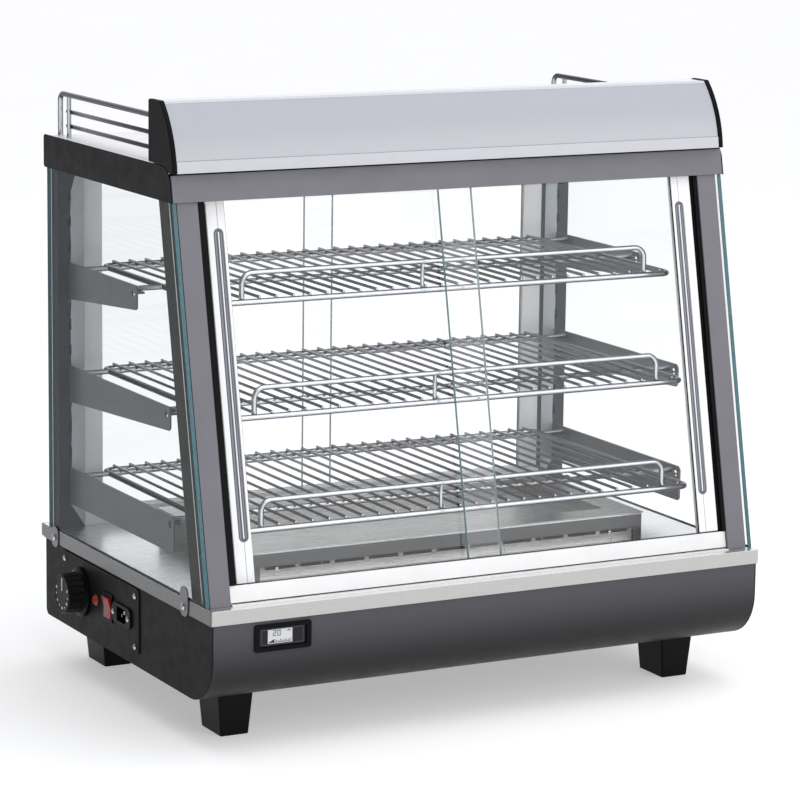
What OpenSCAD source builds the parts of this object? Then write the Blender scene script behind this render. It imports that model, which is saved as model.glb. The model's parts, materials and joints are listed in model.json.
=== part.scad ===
// Countertop hot food display case: heated base, slanted sliding glass front,
// sliding glass back, three wire shelves, canopy with a light box and side rails.
// +X is the viewer's right, +Y runs from the front to the back, +Z is up.
// The origin is on the table, midway between the sides and between front and back.

/* [Cabinet] */
// Width over the stainless deck rim
width = 678; // [640:1:760]
// Depth over the stainless deck rim
depth = 460; // [450:1:520]
// Height of the feet
foot_h = 52; // [30:1:80]
// Height of the painted base box
base_h = 90; // [86:1:120]
// Height of the stainless deck rim
rim_h = 16; // [12:1:24]
// Clear height between the deck and the canopy
cabin_h = 413; // [400:1:450]
// Height of the canopy side plates
canopy_h = 37; // [34:1:50]
// Height of the light box above the canopy
light_h = 66; // [60:1:80]
// Lean of the front glazing from the vertical, in degrees
lean = 11.8; // [9:0.1:12.5]
// Radius of the lower front edge of the base
base_r = 54; // [40:1:54]

/* [Glazing] */
// Thickness of the side panes
side_glass_t = 5; // [4:0.5:6]
// Thickness of the sliding door panes
door_glass_t = 4; // [3:0.5:4]
// Gap between the right post and the right side pane
post_gap = 3; // [0:0.5:4]
// Width of a door handle profile
handle_w = 24; // [20:1:26]
// Thickness of a door handle profile
handle_t = 7.6; // [7:0.1:7.8]
// Length of the finger slot in a handle
slot_len = 330; // [200:5:350]
// Half of the lap between the two panes of a pair
half_lap = 21; // [10:1:22]

/* [Shelves] */
// Height of the lowest shelf rail above the table
shelf_z0 = 223.5; // [215:0.5:240]
// Height between two shelves
shelf_pitch = 118; // [100:1:118]
// Distance between the wires of a shelf
wire_pitch = 20; // [15:1:30]
// Height of the guard wire above the shelf rail
guard_h = 31; // [20:1:40]

/* [Controls] */
// Diameter of the thermostat knob's skirt
skirt_d = 56; // [46:1:60]
// Diameter of the thermostat knob's grip
grip_d = 47; // [34:1:48]
// How far the knob stands out of the control panel
knob_out = 24; // [16:1:30]

/* [Hidden] */
$fn = 48;
eps = 1;          // overrun of a cutting solid
sheet = 1.5;      // painted and stainless sheet
fit_gap = 0.1;    // gap between two sheets of the cabinet

// levels
under_deck_z = foot_h + base_h;
deck_z = under_deck_z + rim_h;
base_top_z = deck_z - sheet - fit_gap;  // the base box ends inside the deck's rim
canopy_z = deck_z + cabin_h;
roof_z = canopy_z + canopy_h;
top_z = roof_z + light_h;

// widths and depths
half_w = width / 2;
front_y = -depth / 2;
function from_front(d) = front_y + d;
base_x = half_w - 2;                 // outer face of the base side plates
base_front_y = from_front(2);
base_rear_y = depth / 2 - 4;
base_rear_r = 8;
glass_x1 = half_w - 0.5;             // outer face of a side pane
glass_x0 = glass_x1 - side_glass_t;
plate_x0 = half_w - 0.3;             // inner face of a canopy side plate
plate_x1 = plate_x0 + sheet;
canopy_rear_y = depth / 2 - 11.5;

// leaning frame of the front: its own y is the distance behind the post face,
// its own z runs up along the glazing from the deck
post_y = from_front(14);
post_w = 24;
post_d = 45;
post_x0 = glass_x0 - post_w;
right_post_x0 = post_x0 - post_gap;
post_clear = 0.2;                    // between a post and the ends of the tracks
band_out = 3;                        // canopy band in front of the post face
band_y = post_y + cabin_h * tan(lean) - band_out / cos(lean);
run_len = cabin_h / cos(lean);       // deck to canopy, along the glazing

// sliding doors: distance of each pane behind the post face
pane_front_d = 6.5;
pane_rear_d = 15;
seat_h = 1.5;                        // raised seat of the front track on the deck
track_h = 18;
track_foot = 3;
track_d0 = 3;
track_d1 = 22.5;
track_groove = door_glass_t + 0.8;
pane_bottom = 13;
pane_top_over = 9;                   // pane inside the top track
top_track_gap = 2;
handle_x1 = post_x0 - 11.5;          // outer edge of a closed door
handle_x0 = handle_x1 - handle_w;
pane_edge_x = handle_x1 - 12;
left_pane_extra = 4;                 // the left front pane reaches further past the middle

// vertical sliding doors of the back
rear_plane_y = depth / 2 - 13.2;     // rear face of the rear tracks
rear_jamb_x = handle_x1 + 3;         // inner face of a rear standard
rear_pane_out = rear_plane_y - 3.5 - door_glass_t;
rear_pane_in = rear_pane_out - 8.5;
standard_y0 = rear_plane_y - 22;
standard_y1 = rear_plane_y - 4;

// shelves
shelf_half = 283;
shelf_rear_y = from_front(412);
shelf_fronts = [65, 83, 115];        // front rail behind the rim, from the lowest
bracket_tips = [137, 147, 235];
bracket_tip_h = [40, 26, 27];
bracket_rear_h = 42;
bracket_x = 319;                     // middle of the bracket sheet and of the slots
bracket_t = 2;
rail_d = 6.6;
wire_d = 3.4;
rod_d = 6;
function shelf_level(i) = shelf_z0 + i * shelf_pitch;

// controls on the left side
panel_y0 = from_front(188);
panel_y1 = from_front(404);
panel_z0 = foot_h + 14;
panel_z1 = under_deck_z - 2.5;
panel_x = -base_x - sheet;           // outer face of the control panel
control_z = (panel_z0 + panel_z1) / 2 - 1;
knob_y = from_front(348);
lamp_y = from_front(305);
switch_y = from_front(270);
inlet_y = from_front(231);
inlet_screws = 40;

// thermometer on the front
thermo_x = -256;
thermo_z = foot_h + 71.6;
thermo_w = 66;
thermo_h = 29.5;

// heater
heater_w = 490;
heater_d = 245;
heater_h = 31;
heater_y0 = from_front(100);
heater_mid_y = heater_y0 + heater_d / 2;
element_z = deck_z + 9;
element_d = 8;

// light box
light_rear_y = from_front(157);
light_x = half_w - 4;                // inner face of the left end cap
light_inset = 4;                     // the light box ends further inside on the right
shell_x0 = -light_x + 0.2;           // ends of the shell between the caps
shell_x1 = light_x - light_inset - 0.2;
cap_t = 5.5;
cap_r = 3;                           // its two rear corners
diffuser_t = 2.5;
diffuser_top = [from_front(128), top_z - 1.2];
diffuser_foot = [from_front(95.5), roof_z - 6];
diffuser_r = 115;

// side rails on the roof
gallery_x = 321;
gallery_rear_y = from_front(444.5);
gallery_h = 48.5;

// ---------- shared shapes ----------

// extrude an outline drawn in (y, z) along x
module along_x(x0, x1) {
    translate([x0, 0, 0]) rotate([90, 0, 90]) linear_extrude(x1 - x0) children();
}

// stand its children in the leaning frame of the front
module leaning() {
    translate([0, post_y, deck_z]) rotate([-lean, 0, 0]) children();
}

module flipped() {
    mirror([1, 0, 0]) children();
}

// box from its lowest to its highest corner
module box(a, b) {
    translate(a) cube(b - a);
}

// rectangle with round corners, from corner a to corner b
module round_rect(a, b, r) {
    translate([a[0] + r, a[1]]) square([b[0] - a[0] - 2 * r, b[1] - a[1]]);
    translate([a[0], a[1] + r]) square([b[0] - a[0], b[1] - a[1] - 2 * r]);
    for (x = [a[0] + r, b[0] - r], y = [a[1] + r, b[1] - r]) translate([x, y]) circle(r);
}

// straight round rod between two points on a line parallel to an axis
module rod_x(x0, x1, y, z, d) {
    translate([x0, y, z]) rotate([0, 90, 0]) cylinder(d = d, h = x1 - x0);
}
module rod_y(x, y0, y1, z, d) {
    translate([x, y0, z]) rotate([-90, 0, 0]) cylinder(d = d, h = y1 - y0);
}
module rod_z(x, y, z0, z1, d) {
    translate([x, y, z0]) cylinder(d = d, h = z1 - z0);
}

// quarter bend of a rod, from direction angle a to a + 90 in its own plane
module bend(r, d, a) {
    rotate([0, 0, a]) rotate_extrude(angle = 90) translate([r, 0]) circle(d = d);
}

// pan head screw with a cross recess, head outwards along +z from z = 0
module pan_screw(d, head_d, head_h, len) {
    difference() {
        union() {
            cylinder(d = head_d, h = head_h * 0.5);
            translate([0, 0, head_h * 0.5]) cylinder(d1 = head_d, d2 = head_d * 0.6, h = head_h * 0.5);
        }
        for (a = [0, 90]) rotate([0, 0, a])
            translate([-head_d * 0.3, -d * 0.12, head_h * 0.45]) cube([head_d * 0.6, d * 0.24, head_h]);
    }
    translate([0, 0, -len]) cylinder(d = d, h = len + 0.01);
}

// ---------- base ----------

// side outline of the base, shrunk by t all round
module base_outline(t) {
    y0 = base_front_y + t;
    y1 = base_rear_y - t;
    z0 = foot_h + t;
    z1 = base_top_z;
    rf = base_r - t;
    rr = base_rear_r - t;
    polygon([[y0, z0 + rf], [y0 + rf, z0], [y1 - rr, z0], [y1, z0 + rr], [y1, z1], [y0, z1]]);
    intersection() {
        translate([y0 + rf, z0 + rf]) circle(rf, $fn = 96);
        translate([y0, z0]) square(rf);
    }
    translate([y1 - rr, z0 + rr]) circle(rr);
}

module base_wrap() {
    lip_z = foot_h + 24;
    color("#4b4a50") difference() {
        along_x(-base_x + sheet, base_x - sheet) difference() {
            base_outline(0);
            base_outline(sheet);
            translate([base_rear_y - 10, lip_z]) square([20, base_h]);
            translate([base_front_y + sheet, base_top_z - 0.02]) square([depth, 1]);
        }
        // opening behind the thermometer
        box([thermo_x - thermo_w / 2 + 2.6, base_front_y - eps, thermo_z - thermo_h / 2 + 2.6],
            [thermo_x + thermo_w / 2 - 2.6, base_front_y + sheet + eps, thermo_z + thermo_h / 2 - 2.6]);
        for (p = foot_places) translate([p[0], p[1], foot_h - eps]) cylinder(d = 6.6, h = sheet + 2 * eps);
        // air slots in the bottom
        for (i = [-6 : 6]) box([i * 22 - 3, from_front(190), foot_h - eps], [i * 22 + 3, from_front(260), foot_h + 4]);
    }
}

module base_rear_panel() {
    y1 = base_rear_y - sheet - fit_gap;
    color("#3a393c") difference() {
        box([-base_x + sheet + fit_gap, y1 - sheet, foot_h + 12], [base_x - sheet - fit_gap, y1, base_top_z]);
        // rows of cooling louvre openings
        for (i = [-9 : 9], k = [0, 1])
            box([i * 28 - 10, y1 - 3, foot_h + 44 + k * 16], [i * 28 + 10, y1 + eps, foot_h + 49 + k * 16]);
    }
}

module base_side() {
    color("#333236") {
        along_x(base_x - sheet, base_x) base_outline(0);
        // flange under the deck
        box([base_x - 16, base_front_y + 30, base_top_z - sheet],
            [base_x - sheet + 0.1, base_rear_y - 30, base_top_z]);
    }
}

module base_side_left() {
    difference() {
        flipped() base_side();
        control_cutouts(0.4);
    }
}

module base_side_right() {
    base_side();
}

// stainless deck: a flat floor with a turned-down rim
module deck_pan() {
    color("#d7d5d4") difference() {
        union() {
            difference() {
                translate([0, 0, under_deck_z]) linear_extrude(rim_h)
                    round_rect([-half_w, front_y], [half_w, depth / 2], 2.5);
                box([-base_x - 0.5, from_front(1.5), under_deck_z - eps],
                    [base_x + 0.5, depth / 2 - 1.5, deck_z - sheet]);
            }
            // raised seat of the front track
            box([-post_x0 + post_clear, from_front(12), deck_z - 0.5],
                [right_post_x0 - post_clear, from_front(44), deck_z + seat_h]);
        }
        // holes for the element's ends and the probe
        for (s = [-3, 3]) translate([-220, heater_mid_y + s * element_pass / 2, deck_z - 5])
            cylinder(d = element_d + 1, h = 12);
    }
}

// ---------- feet ----------

foot_places = [for (y = [from_front(97), from_front(410)], x = [-277.5, 277.5]) [x, y]];

module foot_blank(w, d, z) {
    for (x = [-1, 1], y = [-1, 1])
        translate([x * (w / 2 - 2.5), y * (d / 2 - 2.5), z]) cylinder(r = 2.5, h = 0.6, $fn = 24);
}

module foot(i) {
    color("#1d1d1f") translate([foot_places[i][0], foot_places[i][1], 0]) difference() {
        hull() {
            foot_blank(33, 50, 0);
            foot_blank(42, 56, foot_h - 0.6);
        }
        translate([0, 0, -eps]) cylinder(d = 15, h = foot_h - 8 + eps);
        cylinder(d = 6.6, h = foot_h + eps);
    }
}

module foot_front_left() { foot(0); }
module foot_front_right() { foot(1); }
module foot_rear_left() { foot(2); }
module foot_rear_right() { foot(3); }

module foot_bolts() {
    color("#b9bbbe") for (p = foot_places) translate([p[0], p[1], 0]) {
        rod_z(0, 0, foot_h - 12, foot_h + 12, 6);
        rod_z(0, 0, foot_h - 12.5, foot_h - 8.1, 11);
        translate([0, 0, foot_h + sheet + 0.1]) cylinder(d = 11.5, h = 5, $fn = 6);
    }
}

// ---------- controls ----------

// openings shared by the side plate and the control panel
module control_cutouts(extra) {
    x0 = -base_x - 5;
    w = 12;
    translate([x0, knob_y, control_z]) rotate([0, 90, 0]) cylinder(d = 11 + extra, h = w);
    translate([x0, lamp_y, control_z]) rotate([0, 90, 0]) cylinder(d = 10 + extra, h = w);
    box([x0, switch_y - 11.2 - extra, control_z - 14.2 - extra],
        [x0 + w, switch_y + 11.2 + extra, control_z + 14.2 + extra]);
    box([x0, inlet_y - 14.2 - extra, control_z - 10.2 - extra],
        [x0 + w, inlet_y + 14.2 + extra, control_z + 10.2 + extra]);
    for (s = [-1, 1]) translate([x0, inlet_y + s * inlet_screws / 2, control_z])
        rotate([0, 90, 0]) cylinder(d = 3.3, h = w);
    for (p = panel_screw_places) translate([x0, p[0], p[1]]) rotate([0, 90, 0]) cylinder(d = 3.3, h = w);
}

panel_screw_places = [for (y = [panel_y0 + 9, panel_y1 - 9], z = [panel_z0 + 8, panel_z1 - 9]) [y, z]];

module control_panel() {
    color("#2f2e31") difference() {
        along_x(panel_x, -base_x) round_rect([panel_y0, panel_z0], [panel_y1, panel_z1], 6);
        control_cutouts(0);
    }
}

module panel_screws() {
    color("#c9cbce") {
        for (p = panel_screw_places)
            translate([panel_x, p[0], p[1]]) rotate([0, -90, 0]) pan_screw(3, 6.6, 2.2, 8);
        for (s = [-1, 1]) translate([panel_x - 2.4, inlet_y + s * inlet_screws / 2, control_z])
            rotate([0, -90, 0]) pan_screw(3, 6, 2, 10);
    }
}

module thermostat_body() {
    inner_x = -base_x + sheet;
    color("#8d8a80") difference() {
        union() {
            box([inner_x + 0.1, knob_y - 20, control_z - 16], [inner_x + 2, knob_y + 20, control_z + 16]);
            translate([inner_x + 1, knob_y, control_z]) rotate([0, 90, 0]) cylinder(d = 34, h = 26);
            translate([panel_x + 0.2, knob_y, control_z]) rotate([0, 90, 0]) cylinder(d = 10, h = 6);
        }
        translate([panel_x - eps, knob_y, control_z]) rotate([0, 90, 0]) cylinder(d = 6.1, h = 20);
    }
}

module thermostat_shaft() {
    color("#c5b58a") difference() {
        translate([panel_x - knob_out + 6, knob_y, control_z]) rotate([0, 90, 0])
            cylinder(d = 6, h = knob_out + 10);
        box([panel_x - knob_out + 5, knob_y - 4, control_z + 1.6], [panel_x - 2, knob_y + 4, control_z + 4]);
    }
}

module thermostat_knob() {
    back_x = panel_x - 0.6;
    skirt_t = 4;
    grip_h = knob_out - skirt_t - 0.6;
    flute_n = 18;
    color("#1a1a1b") translate([back_x, knob_y, control_z]) rotate([0, -90, 0]) difference() {
        union() {
            cylinder(d = skirt_d, h = skirt_t - 1.2);
            translate([0, 0, skirt_t - 1.2]) cylinder(d1 = skirt_d, d2 = skirt_d - 2.4, h = 1.2);
            translate([0, 0, skirt_t - 0.01]) cylinder(d1 = grip_d, d2 = grip_d - 1.6, h = grip_h - 1.4);
            translate([0, 0, skirt_t + grip_h - 1.42]) cylinder(d1 = grip_d - 1.6, d2 = grip_d - 4.4, h = 1.4);
        }
        for (i = [0 : flute_n - 1]) rotate([0, 0, (i + 0.5) * 360 / flute_n])
            translate([grip_d / 2 + 1.2, 0, skirt_t + 0.4]) cylinder(d = 4.6, h = grip_h);
        // groove that holds the pointer line, towards the top
        translate([grip_d * 0.2, -0.8, skirt_t + grip_h - 0.7]) cube([grip_d * 0.5, 1.6, 2]);
        // blind bore for the shaft
        translate([0, 0, -eps]) cylinder(d = 6.1, h = knob_out - 5 + eps);
    }
}

module indicator_lamp() {
    color("#e2481f") translate([panel_x, lamp_y, control_z]) rotate([0, -90, 0]) {
        cylinder(d = 12.5, h = 1.4);
        translate([0, 0, 1.4]) cylinder(d1 = 10.5, d2 = 7.6, h = 2.4);
        translate([0, 0, -20]) cylinder(d = 9.6, h = 20.01);
    }
}

module switch_housing() {
    bezel_t = 2;
    color("#141415") difference() {
        union() {
            along_x(panel_x - bezel_t, panel_x)
                round_rect([switch_y - 13, control_z - 15.8], [switch_y + 13, control_z + 15.8], 1.6);
            box([panel_x - 0.1, switch_y - 11, control_z - 14], [panel_x + 25, switch_y + 11, control_z + 14]);
            for (k = [-1, 0, 1], s = [-1, 1])
                box([panel_x + 24, switch_y + s * 6 - 0.4, control_z + k * 9 - 2.4],
                    [panel_x + 32, switch_y + s * 6 + 0.4, control_z + k * 9 + 2.4]);
        }
        box([panel_x - bezel_t - eps, switch_y - 10, control_z - 13], [panel_x + 9, switch_y + 10, control_z + 13]);
    }
}

module switch_rocker() {
    tilt = -7;                       // the top end stands out
    color("#c8201c") translate([panel_x, switch_y, control_z]) rotate([0, tilt, 0])
        rotate([90, 0, 0]) translate([0, 0, -9.6]) linear_extrude(19.2)
            polygon([[7, -6.5], [-0.5, -12.2], [-4.2, -12], [-2.3, 0], [-4.2, 12], [-0.5, 12.2], [7, 6.5]]);
}

module mains_inlet() {
    flange_t = 2.4;
    color("#17171a") difference() {
        union() {
            along_x(panel_x - flange_t, panel_x)
                round_rect([inlet_y - 25, control_z - 11.5], [inlet_y + 25, control_z + 11.5], 8);
            box([panel_x - 0.1, inlet_y - 14, control_z - 10], [panel_x + 21, inlet_y + 14, control_z + 10]);
        }
        box([panel_x - flange_t - eps, inlet_y - 12, control_z - 8], [panel_x + 15, inlet_y + 12, control_z + 8]);
        for (s = [-1, 1]) translate([panel_x - 5, inlet_y + s * inlet_screws / 2, control_z])
            rotate([0, 90, 0]) cylinder(d = 3.3, h = 10);
    }
    color("#c9b26a") for (p = [[-7, -2], [0, 2], [7, -2]])
        box([panel_x + 1.5, inlet_y + p[0] - 1, control_z + p[1] - 2],
            [panel_x + 29, inlet_y + p[0] + 1, control_z + p[1] + 2]);
}

// ---------- thermometer ----------

module thermometer_bezel() {
    y0 = base_front_y - 2.4;
    color("#202023") difference() {
        union() {
            translate([0, y0, 0]) rotate([-90, 0, 0]) linear_extrude(2.4)
                round_rect([thermo_x - thermo_w / 2, -thermo_z - thermo_h / 2],
                           [thermo_x + thermo_w / 2, -thermo_z + thermo_h / 2], 3);
            box([thermo_x - thermo_w / 2 + 3, base_front_y - 0.1, thermo_z - thermo_h / 2 + 3],
                [thermo_x + thermo_w / 2 - 3, base_front_y + 22, thermo_z + thermo_h / 2 - 3]);
        }
        translate([0, y0 - eps, 0]) rotate([-90, 0, 0]) linear_extrude(4 + eps)
            round_rect([thermo_x - thermo_w / 2 + 5.5, -thermo_z - thermo_h / 2 + 4.5],
                       [thermo_x + thermo_w / 2 - 5.5, -thermo_z + thermo_h / 2 - 4.5], 1.5);
    }
}

module thermometer_display() {
    y1 = base_front_y + 1.6;
    color("#3a3a40") difference() {
        box([thermo_x - thermo_w / 2 + 6.1, y1 - 1.6, thermo_z - thermo_h / 2 + 5.1],
            [thermo_x + thermo_w / 2 - 6.1, y1, thermo_z + thermo_h / 2 - 5.1]);
        box([thermo_x - 17, y1 - 3, thermo_z - 7.5], [thermo_x + 12, y1 - 1, thermo_z + 8.5]);
    }
    color("#d9dadd") box([thermo_x - 16.8, y1 - 1.2, thermo_z - 7.3], [thermo_x + 11.8, y1 - 0.9, thermo_z + 8.3]);
}

// ---------- heater ----------

element_pass = 44;                   // distance between two passes of the element
element_half = 200;

module heating_element() {
    color("#55504c") {
        for (k = [-3, -1, 1, 3])
            rod_x(-element_half - (abs(k) == 3 ? 20 : 0), element_half,
                  heater_mid_y + k * element_pass / 2, element_z, element_d);
        for (k = [-2, 2]) translate([element_half, heater_mid_y + k * element_pass / 2, element_z])
            rotate([0, 0, -90]) rotate_extrude(angle = 180) translate([element_pass / 2, 0]) circle(d = element_d);
        translate([-element_half, heater_mid_y, element_z])
            rotate([0, 0, 90]) rotate_extrude(angle = 180) translate([element_pass / 2, 0]) circle(d = element_d);
        // ends turned down through the deck
        for (s = [-3, 3]) rod_z(-element_half - 20, heater_mid_y + s * element_pass / 2,
                                under_deck_z - 14, element_z + element_d / 2, element_d);
    }
}

module element_supports() {
    color("#b8b8ba") for (x = [-140, 140]) difference() {
        box([x - 1, heater_mid_y - 80, deck_z], [x + 1, heater_mid_y + 80, element_z + 8]);
        for (k = [-3, -1, 1, 3])
            rod_x(x - 3, x + 3, heater_mid_y + k * element_pass / 2, element_z, element_d + 0.6);
    }
}

module heater_cover() {
    x1 = heater_w / 2;
    y0 = heater_y0;
    y1 = heater_y0 + heater_d;
    z1 = deck_z + heater_h;
    fascia_z = deck_z + 15;
    step = 3;                        // lower panel behind the fascia
    column_w = 10;                   // flush column at each corner
    color("#cfced0") difference() {
        union() {
            box([-x1, y0, fascia_z], [x1, y1, z1]);
            box([-x1 + 0.5, y0 + step, deck_z], [x1 - 0.5, y1 - step, fascia_z + 0.1]);
            for (x = [-x1, x1 - sheet]) box([x, y0, deck_z], [x + sheet, y1, fascia_z + 0.1]);
            for (x = [-x1, x1 - column_w], y = [y0, y1 - sheet])
                box([x, y, deck_z], [x + column_w, y + sheet, fascia_z + 0.1]);
        }
        // hollow inside
        box([-x1 + 2, y0 + step + sheet, deck_z - eps], [x1 - 2, y1 - step - sheet, z1 - sheet]);
        box([-x1 + sheet, y0 + sheet, fascia_z + sheet], [x1 - sheet, y1 - sheet, z1 - sheet]);
        // opening for the tray
        box([-tray_x, heater_mid_y - tray_y, z1 - 5], [tray_x, heater_mid_y + tray_y, z1 + eps]);
        // warm air slots behind the fascia, front and back
        for (i = [-5 : 5], y = [y0 + 1, y1 - 6])
            box([i * 42 - 18, y, fascia_z - 4.5], [i * 42 + 18, y + 5, fascia_z - 0.5]);
    }
}

tray_x = 215;
tray_y = 92;

module water_tray() {
    z1 = deck_z + heater_h + 0.3;
    x1 = heater_w / 2 + 1.5;
    y1 = heater_d / 2 + 1.5;
    color("#e6e4df") difference() {
        union() {
            box([-x1, heater_mid_y - y1, z1], [x1, heater_mid_y + y1, z1 + 1.2]);
            box([-tray_x + 1, heater_mid_y - tray_y + 1, z1 - 14], [tray_x - 1, heater_mid_y + tray_y - 1, z1 + 0.1]);
        }
        box([-tray_x + 2.2, heater_mid_y - tray_y + 2.2, z1 - 12.8], [tray_x - 2.2, heater_mid_y + tray_y - 2.2, z1 + 3]);
    }
}

// ---------- front frame ----------

module front_post() {
    wall = 2;
    color("#7d7c82") intersection() {
        leaning() translate([post_x0, 0, -20]) difference() {
            cube([post_w, post_d, run_len + 60]);
            translate([wall, wall, -eps]) cube([post_w - 2 * wall, post_d - 2 * wall, run_len + 62]);
        }
        box([0, front_y, deck_z], [half_w, depth / 2, roof_z - 13]);
    }
}

module front_post_left() { flipped() front_post(); }
module front_post_right() { translate([-post_gap, 0, 0]) front_post(); }

module jamb_seals() {
    s0 = track_h + track_foot + 0.4;
    s1 = run_len + 1;
    color("#0f0f10") for (side = [[0, right_post_x0], [1, post_x0]]) mirror([side[0], 0, 0]) leaning() {
        box([handle_x1 + 0.8, 4, s0], [side[1], 21.5, s1]);
        box([handle_x1 + 4, 1.5, s0], [side[1], 4.1, s1]);
    }
}

// ---------- sliding tracks ----------

module front_bottom_track() {
    top_s = track_foot + track_h;
    x0 = -post_x0 + post_clear;
    x1 = right_post_x0 - post_clear;
    color("#ededec") difference() {
        intersection() {
            leaning() box([x0, track_d0, -8], [x1, track_d1, top_s]);
            box([-half_w, front_y, deck_z + seat_h], [half_w, 0, roof_z]);
        }
        leaning() for (d = [pane_front_d, pane_rear_d])
            box([x0 - eps, d - 0.4, pane_bottom - 0.5], [x1 + eps, d - 0.4 + track_groove, top_s + eps]);
        // shadow gap under the front face
        leaning() box([x0 - eps, track_d0 - eps, -10], [x1 + eps, track_d0 + 5, track_foot]);
    }
}

module front_top_track() {
    s0 = run_len + top_track_gap;
    x0 = -post_x0 + post_clear;
    x1 = right_post_x0 - post_clear;
    color("#dcdcdb") leaning() difference() {
        box([x0, track_d0, s0], [x1, track_d1, s0 + 20]);
        for (d = [pane_front_d, pane_rear_d])
            box([x0 - eps, d - 0.4, s0 - eps], [x1 + eps, d - 0.4 + track_groove, s0 + pane_top_over + 5]);
    }
}

module rear_track(z0, z1, groove_z0, groove_z1) {
    x1 = rear_jamb_x - 0.2;
    color("#e4e4e3") difference() {
        box([-x1, rear_plane_y - 20, z0], [x1, rear_plane_y, z1]);
        for (y = [rear_pane_in, rear_pane_out])
            box([-x1 - eps, y - 0.4, groove_z0], [x1 + eps, y - 0.4 + track_groove, groove_z1]);
    }
}

module rear_bottom_track() {
    rear_track(deck_z, deck_z + track_h, deck_z + 9, deck_z + track_h + eps);
}

module rear_top_track() {
    rear_track(canopy_z - 2, canopy_z + 20, canopy_z - 2 - eps, canopy_z + 14);
}

// ---------- doors ----------

// pane from the middle lap to the handle, upright, its front face at y = 0
module door_pane(z0, z1, extra = 0) {
    box([-half_lap - extra, 0, z0], [pane_edge_x, door_glass_t, z1]);
}

// U profile on the outer edge of a pane, with a long finger slot through its front wall
module door_handle(z0, z1, face) {
    y0 = door_glass_t / 2 - handle_t / 2;
    mid_z = (z0 + z1) / 2 + 7;
    slot_w = 11.5;
    slot_x = handle_x0 + 8.6;
    wall_y = face < 0 ? y0 - eps : door_glass_t + 0.02;
    difference() {
        box([handle_x0, y0, z0], [handle_x1, y0 + handle_t, z1]);
        box([handle_x0 - eps, -0.05, z0 - eps], [pane_edge_x + 1, door_glass_t + 0.05, z1 + eps]);
        translate([0, wall_y, 0]) rotate([-90, 0, 0]) linear_extrude(handle_t / 2 - door_glass_t / 2 + eps) {
            translate([slot_x - slot_w / 2, -mid_z - slot_len / 2 + slot_w / 2]) square([slot_w, slot_len - slot_w]);
            for (s = [-1, 1]) translate([slot_x, -mid_z + s * (slot_len / 2 - slot_w / 2)]) circle(d = slot_w);
        }
    }
}

pane_z1 = run_len + top_track_gap + pane_top_over;
handle_z0 = track_foot + track_h + 0.8;
handle_z1 = run_len + top_track_gap - 0.8;

module front_door_glass_left() {
    color("#dfe6e6") flipped() leaning() translate([0, pane_rear_d, 0])
        door_pane(pane_bottom, pane_z1, left_pane_extra);
}
module front_door_handle_left() {
    color("#ececec") flipped() leaning() translate([0, pane_rear_d, 0]) door_handle(handle_z0, handle_z1, -1);
}
module front_door_glass_right() {
    color("#dfe6e6") leaning() translate([0, pane_front_d, 0]) door_pane(pane_bottom, pane_z1);
}
module front_door_handle_right() {
    color("#ececec") leaning() translate([0, pane_front_d, 0]) door_handle(handle_z0, handle_z1, -1);
}

rear_pane_z0 = deck_z + 9.5;
rear_pane_z1 = canopy_z + 9;
rear_handle_z0 = deck_z + track_h + 0.8;
rear_handle_z1 = canopy_z - 2.8;

module rear_door_glass_left() {
    color("#dfe6e6") flipped() translate([0, rear_pane_out, 0]) door_pane(rear_pane_z0, rear_pane_z1);
}
module rear_door_handle_left() {
    color("#e2e2e2") flipped() translate([0, rear_pane_out, 0]) door_handle(rear_handle_z0, rear_handle_z1, 1);
}
module rear_door_glass_right() {
    color("#dfe6e6") translate([0, rear_pane_in, 0]) door_pane(rear_pane_z0, rear_pane_z1);
}
module rear_door_handle_right() {
    color("#e2e2e2") translate([0, rear_pane_in, 0]) door_handle(rear_handle_z0, rear_handle_z1, 1);
}

// ---------- side panes and their clips ----------

module side_glass() {
    z1 = roof_z - 18;
    y_at = post_y + (z1 - deck_z) * tan(lean);
    color("#9fb8b8") along_x(glass_x0, glass_x1)
        polygon([[post_y + 0.6, deck_z], [y_at + 0.6, z1], [standard_y1, z1], [standard_y1, deck_z]]);
}

module side_glass_left() { flipped() side_glass(); }
module side_glass_right() { side_glass(); }

// plated ears at the front corners and folded clips round the rear corners, with screws
module glass_clips() {
    t = 1.2;
    x0 = half_w + 0.02;
    ear_y = from_front(66);
    ear_z = under_deck_z + 7.5;
    ear_half = 9.5;
    ear_r = 8;
    rear_ear_y = depth / 2 - 38;
    color("#c4c4c6") for (s = [0, 1]) mirror([s, 0, 0]) {
        along_x(x0, x0 + t) round_rect([ear_y - ear_half, under_deck_z - 3], [ear_y + ear_half, deck_z + 13], ear_r);
        box([half_w - 0.45, ear_y - 5, deck_z + 2], [x0 + 0.2, ear_y + 5, deck_z + 11]);
        translate([x0 + t, ear_y, ear_z]) rotate([0, 90, 0]) pan_screw(4, 8, 2.6, 0.5);
        along_x(x0, x0 + t)
            round_rect([rear_ear_y - ear_half, under_deck_z - 4], [rear_ear_y + ear_half, deck_z + 4], ear_r);
        box([x0, rear_ear_y, under_deck_z + 2], [x0 + t, depth / 2 + t, deck_z]);
        box([half_w - 34, depth / 2 + 0.02, under_deck_z + 2], [x0 + t, depth / 2 + t, deck_z]);
        translate([x0 + t, rear_ear_y, ear_z]) rotate([0, 90, 0]) pan_screw(4, 8, 2.6, 0.5);
        translate([half_w - 26, depth / 2 + t, ear_z]) rotate([-90, 0, 0]) pan_screw(4, 8, 2.6, 0.5);
    }
}

// ---------- rear standards ----------

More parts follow.
